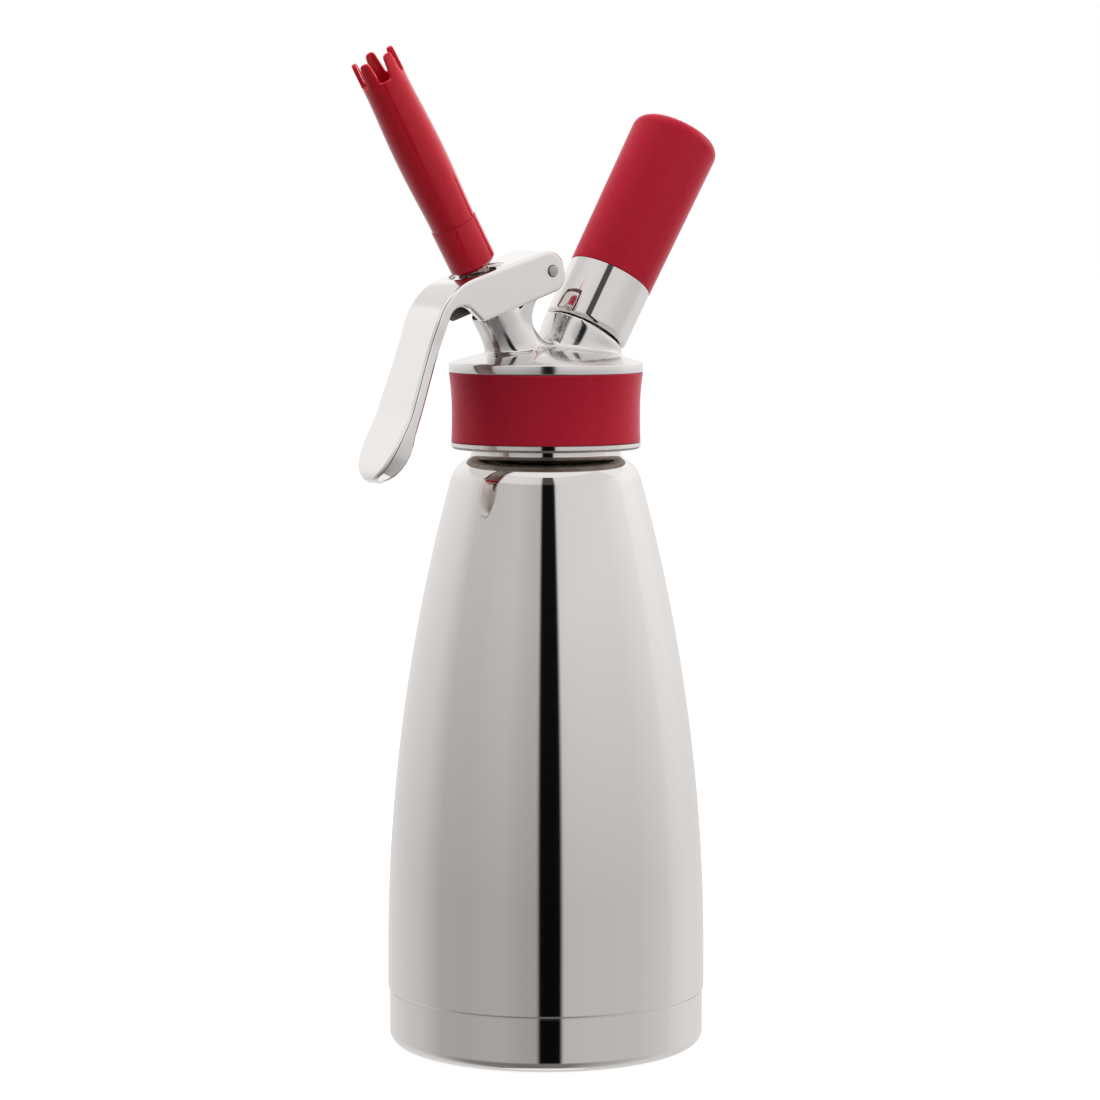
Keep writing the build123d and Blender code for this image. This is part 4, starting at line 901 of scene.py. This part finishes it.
# %% The tip's collar
COLLAR_FOOT, COLLAR_TOP, COLLAR_RADIUS, COLLAR_BORE = 55.2, 70.95, 7.7, 5.65
COLLAR_SEAT, TUBE_GAP = 70.6, 0.04
BEVEL_ACROSS, BEVEL_UP = 1.1, 1.2
collar_line = rounded([(COLLAR_BORE, COLLAR_FOOT), (COLLAR_RADIUS - BEVEL_ACROSS, COLLAR_FOOT),
                       (COLLAR_RADIUS, COLLAR_FOOT + BEVEL_UP), (COLLAR_RADIUS, COLLAR_TOP),
                       (FOOT_RADIUS + TUBE_GAP, COLLAR_TOP), (FOOT_RADIUS + TUBE_GAP, COLLAR_SEAT),
                       (COLLAR_BORE, COLLAR_SEAT)], [0, 0.5, 0.8, 0.15, 0.08, 0, 0], steps=5)
collar = lathe("tip_collar_moulding", collar_line)
lean(collar, TIP_LEAN)
fit(collar, "tip", "tip_collar", red_plastic, smooth=40)

# %% [markdown]
# ## The silicone sleeves
# Two red silicone parts are pushed over the steel: the grip round the head, whose side is a shallow hollow
# so that wet fingers don't slip off, and the cap over the charger holder. Silicone is moulded with generous
# rounds, because it tears at a sharp corner. Both are turned from their outlines.

# %% The grip round the head
SEAT, GRIP_FOOT_Z, GRIP_TOP_Z = 28.95, 196.9, 219.4
WAIST_RADIUS, FOOT_SWELL, TOP_FLARE, RIM_ROUND = 30.55, 0.2, 1.0, 0.35
WAIST_AT, FOOT_CURVE, TOP_CURVE = 0.36, 2, 2.4
side = []
for step in range(SIDE_STEPS + 1):
    t = step / SIDE_STEPS
    foot_out = FOOT_SWELL * (1 - min(1, t / WAIST_AT)) ** FOOT_CURVE
    top_out = TOP_FLARE * max(0, (t - WAIST_AT) / (1 - WAIST_AT)) ** TOP_CURVE
    side.append((WAIST_RADIUS + foot_out + top_out, GRIP_FOOT_Z + (GRIP_TOP_Z - GRIP_FOOT_Z) * t))
line = rounded([(SEAT, GRIP_FOOT_Z), *side, (SEAT, GRIP_TOP_Z)],
               [0, RIM_ROUND] + [0] * (len(side) - 2) + [RIM_ROUND, 0], steps=5)
grip = lathe("silicone_grip", line, steps=160)
fit(grip, "head", "grip_collar", red_silicone, smooth=50)

# %% The cap over the charger holder
CAP_FOOT, CAP_END, CAP_FOOT_RADIUS, CAP_TOP_RADIUS = 50.65, 106.55, 14.1, 14.85
CAP_CROWN, CAP_ROUND, CAP_LIP = 0.8, 4.5, 0.4
CAP_BORE, CAP_BORE_END = 12.35, 105.25
crown = [(CAP_TOP_RADIUS * t, CAP_END - CAP_CROWN * t ** 2) for t in (0, 0.2, 0.4, 0.6, 1.0)]
line = rounded([(0, CAP_BORE_END), (CAP_BORE, CAP_BORE_END), (CAP_BORE, CAP_FOOT), (CAP_FOOT_RADIUS, CAP_FOOT),
                *reversed(crown)], [0, 0, 0, CAP_LIP, CAP_ROUND, 0, 0, 0, 0], steps=10)
cap = lathe("silicone_cap", line)
lean(cap, HOLDER_LEAN)
fit(cap, "holder", "holder_sleeve", red_silicone, smooth=50)

# %% [markdown]
# ## The hinge pin
# The pin is a short steel bar pressed through both cheeks. Its ends are slightly domed, so that they don't
# scratch.

# %% The hinge pin
PIN_RADIUS, PIN_END, PIN_DOME, PIN_BREAK = 1.75, 11.1, 0.3, 0.12
DOME_SHARE = 0.96
pin_line = [(0, -PIN_END - PIN_DOME)]
for angle in [math.radians(degrees) for degrees in (30, 55, 75, 90)]:
    pin_line.append((PIN_RADIUS * math.sin(angle) * DOME_SHARE, -PIN_END - PIN_DOME * math.cos(angle)))
pin_line.append((PIN_RADIUS, -PIN_END + PIN_BREAK))
pin = lathe("hinge_pin", pin_line + [(radius, -z) for radius, z in reversed(pin_line)], steps=48, closed=False)
alone(pin)
pin.rotation_euler = (math.radians(90), 0, 0)
pin.location = Vector((PIN[0], 0, PIN[1])) * MM
bpy.ops.object.transform_apply(location=True, rotation=True)
fit(pin, "head", "lever_pin", turned_steel, smooth=50)

# %% [markdown]
# ## The valve's spring
# A coil of drawn wire sits round the valve's stem, between the plastic bush and the push nut. It rides with
# the nut.

# %% The valve's spring
coil = copy_of("valve_spring", "return_spring")
fit(coil, "valve", "valve_spring", turned_steel)
reach = [corner.co.dot(VALVE_AXIS) for corner in coil.data.vertices]
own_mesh(coil)

# %% [markdown]
# ## The bottle's outer shell
# The shell is deep drawn from sheet and spun: a short straight side, one long arc up to the shoulder, a
# tight round over it and a small one into the neck. A mirror shows the slightest unevenness in a mesh, so
# the wall is turned again here from its true arcs, in 240 even steps.

# %% The shell's line
SHELL_RADIUS, SHELL_WALL, SHELL_FOOT, BELLY_TOP = 51.9, 0.9, 17.9, 29.0
NECK_RADIUS, NECK_END = 24.3, 196.0
SHOULDER, NECK_CORNER = Vector((NECK_RADIUS + 5.57, 188.7)), Vector((NECK_RADIUS, 192.32))
SHOULDER_ROUND, NECK_ROUND, LIP_ROUND = 11.0, 2.2, 0.4
FLANK_STEPS, SHOULDER_STEPS, NECK_STEPS, TURNING_STEPS = 60, 10, 6, 240
taper, climb = SHELL_RADIUS - SHOULDER.x, SHOULDER.y - BELLY_TOP
flank_radius = (taper ** 2 + climb ** 2) / (2 * taper)
flank_middle = Vector((SHELL_RADIUS - flank_radius, BELLY_TOP))
slope = (NECK_CORNER - SHOULDER).normalized()
into_wall = Vector((-slope.y, slope.x))
# the round's middle lies this deep under the sloping top, and the round touches the long arc from inside
below = SHOULDER + into_wall * SHOULDER_ROUND - flank_middle
along = below.dot(slope)
shift = -along - math.sqrt(along ** 2 - below.length_squared + (flank_radius - SHOULDER_ROUND) ** 2)
round_middle = flank_middle + below + slope * shift
print("long arc's radius in mm:", round(flank_radius, 1))


def arc(middle, radius, first, last, steps):
    """Points on an arc, from one angle to another."""
    return [middle + Vector((math.cos(a), math.sin(a))) * radius
            for a in (first + (last - first) * step / steps for step in range(steps + 1))]


def shell_line(depth):
    """The shell's line from its foot to the neck's end, this deep under its outer face."""
    meeting = math.atan2(round_middle.y - flank_middle.y, round_middle.x - flank_middle.x)
    line = [Vector((SHELL_RADIUS - depth, SHELL_FOOT + rise)) for rise in (LIP_ROUND, LIP_ROUND * 2)]
    line += arc(flank_middle, flank_radius - depth, 0, meeting, FLANK_STEPS)
    top = math.atan2(-into_wall.y, -into_wall.x)
    line += arc(round_middle, SHOULDER_ROUND - depth, meeting, top, SHOULDER_STEPS)[1:]
    corner = NECK_CORNER + into_wall * depth - slope * (1 + into_wall.x) * depth / slope.x
    bend = rounded([line[-1], corner, Vector((corner.x, NECK_END))], [0, NECK_ROUND + depth, 0], NECK_STEPS)
    return line + bend[1:]


# %% Turn the shell
outer = shell_line(0)
inner = shell_line(SHELL_WALL)
lip_corner = LIP_ROUND * 0.3
foot_lip = [Vector((SHELL_RADIUS - SHELL_WALL, SHELL_FOOT)), Vector((SHELL_RADIUS - LIP_ROUND, SHELL_FOOT)),
            Vector((SHELL_RADIUS - lip_corner, SHELL_FOOT + lip_corner))]
shell = lathe("bottle_shell", foot_lip + outer + inner[::-1], steps=TURNING_STEPS)
fit(shell, "bottle", "outer_shell", mirror_steel)
apply(shell, "WEIGHTED_NORMAL", keep_sharp=True, weight=95)

# %% [markdown]
# A pressed cup closes the bottle's foot. Its upper edge steps in to a spigot that slides up inside the
# shell, which leaves the thin dark seam.

# %% The base cup
CUP_RADIUS, CUP_WALL, CUP_ROUND, CUP_HEIGHT, CUP_EDGE = 51.4, 1.0, 3.75, 17.55, 0.12
SPIGOT_RADIUS, SPIGOT_TOP = 50.95, 26.4
cup_line = rounded([(0, 0), (CUP_RADIUS, 0), (CUP_RADIUS, CUP_HEIGHT), (SPIGOT_RADIUS, CUP_HEIGHT),
                    (SPIGOT_RADIUS, SPIGOT_TOP), (SPIGOT_RADIUS - CUP_WALL, SPIGOT_TOP),
                    (SPIGOT_RADIUS - CUP_WALL, CUP_HEIGHT - CUP_WALL),
                    (CUP_RADIUS - CUP_WALL, CUP_HEIGHT - 2 * CUP_WALL), (CUP_RADIUS - CUP_WALL, CUP_WALL),
                    (0, CUP_WALL)],
                   [0, CUP_ROUND, CUP_EDGE, 0, 0, 0, 0, 0, CUP_ROUND - CUP_WALL, 0], steps=8)
cup = lathe("bottle_base_cup", cup_line, steps=TURNING_STEPS, closed=False)
fit(cup, "bottle", "base_cup", mirror_steel)
apply(cup, "WEIGHTED_NORMAL", keep_sharp=True, weight=95)

# %% [markdown]
# ## The end
# The view layer is brought up to date.

# %% The end
bpy.context.view_layer.update()
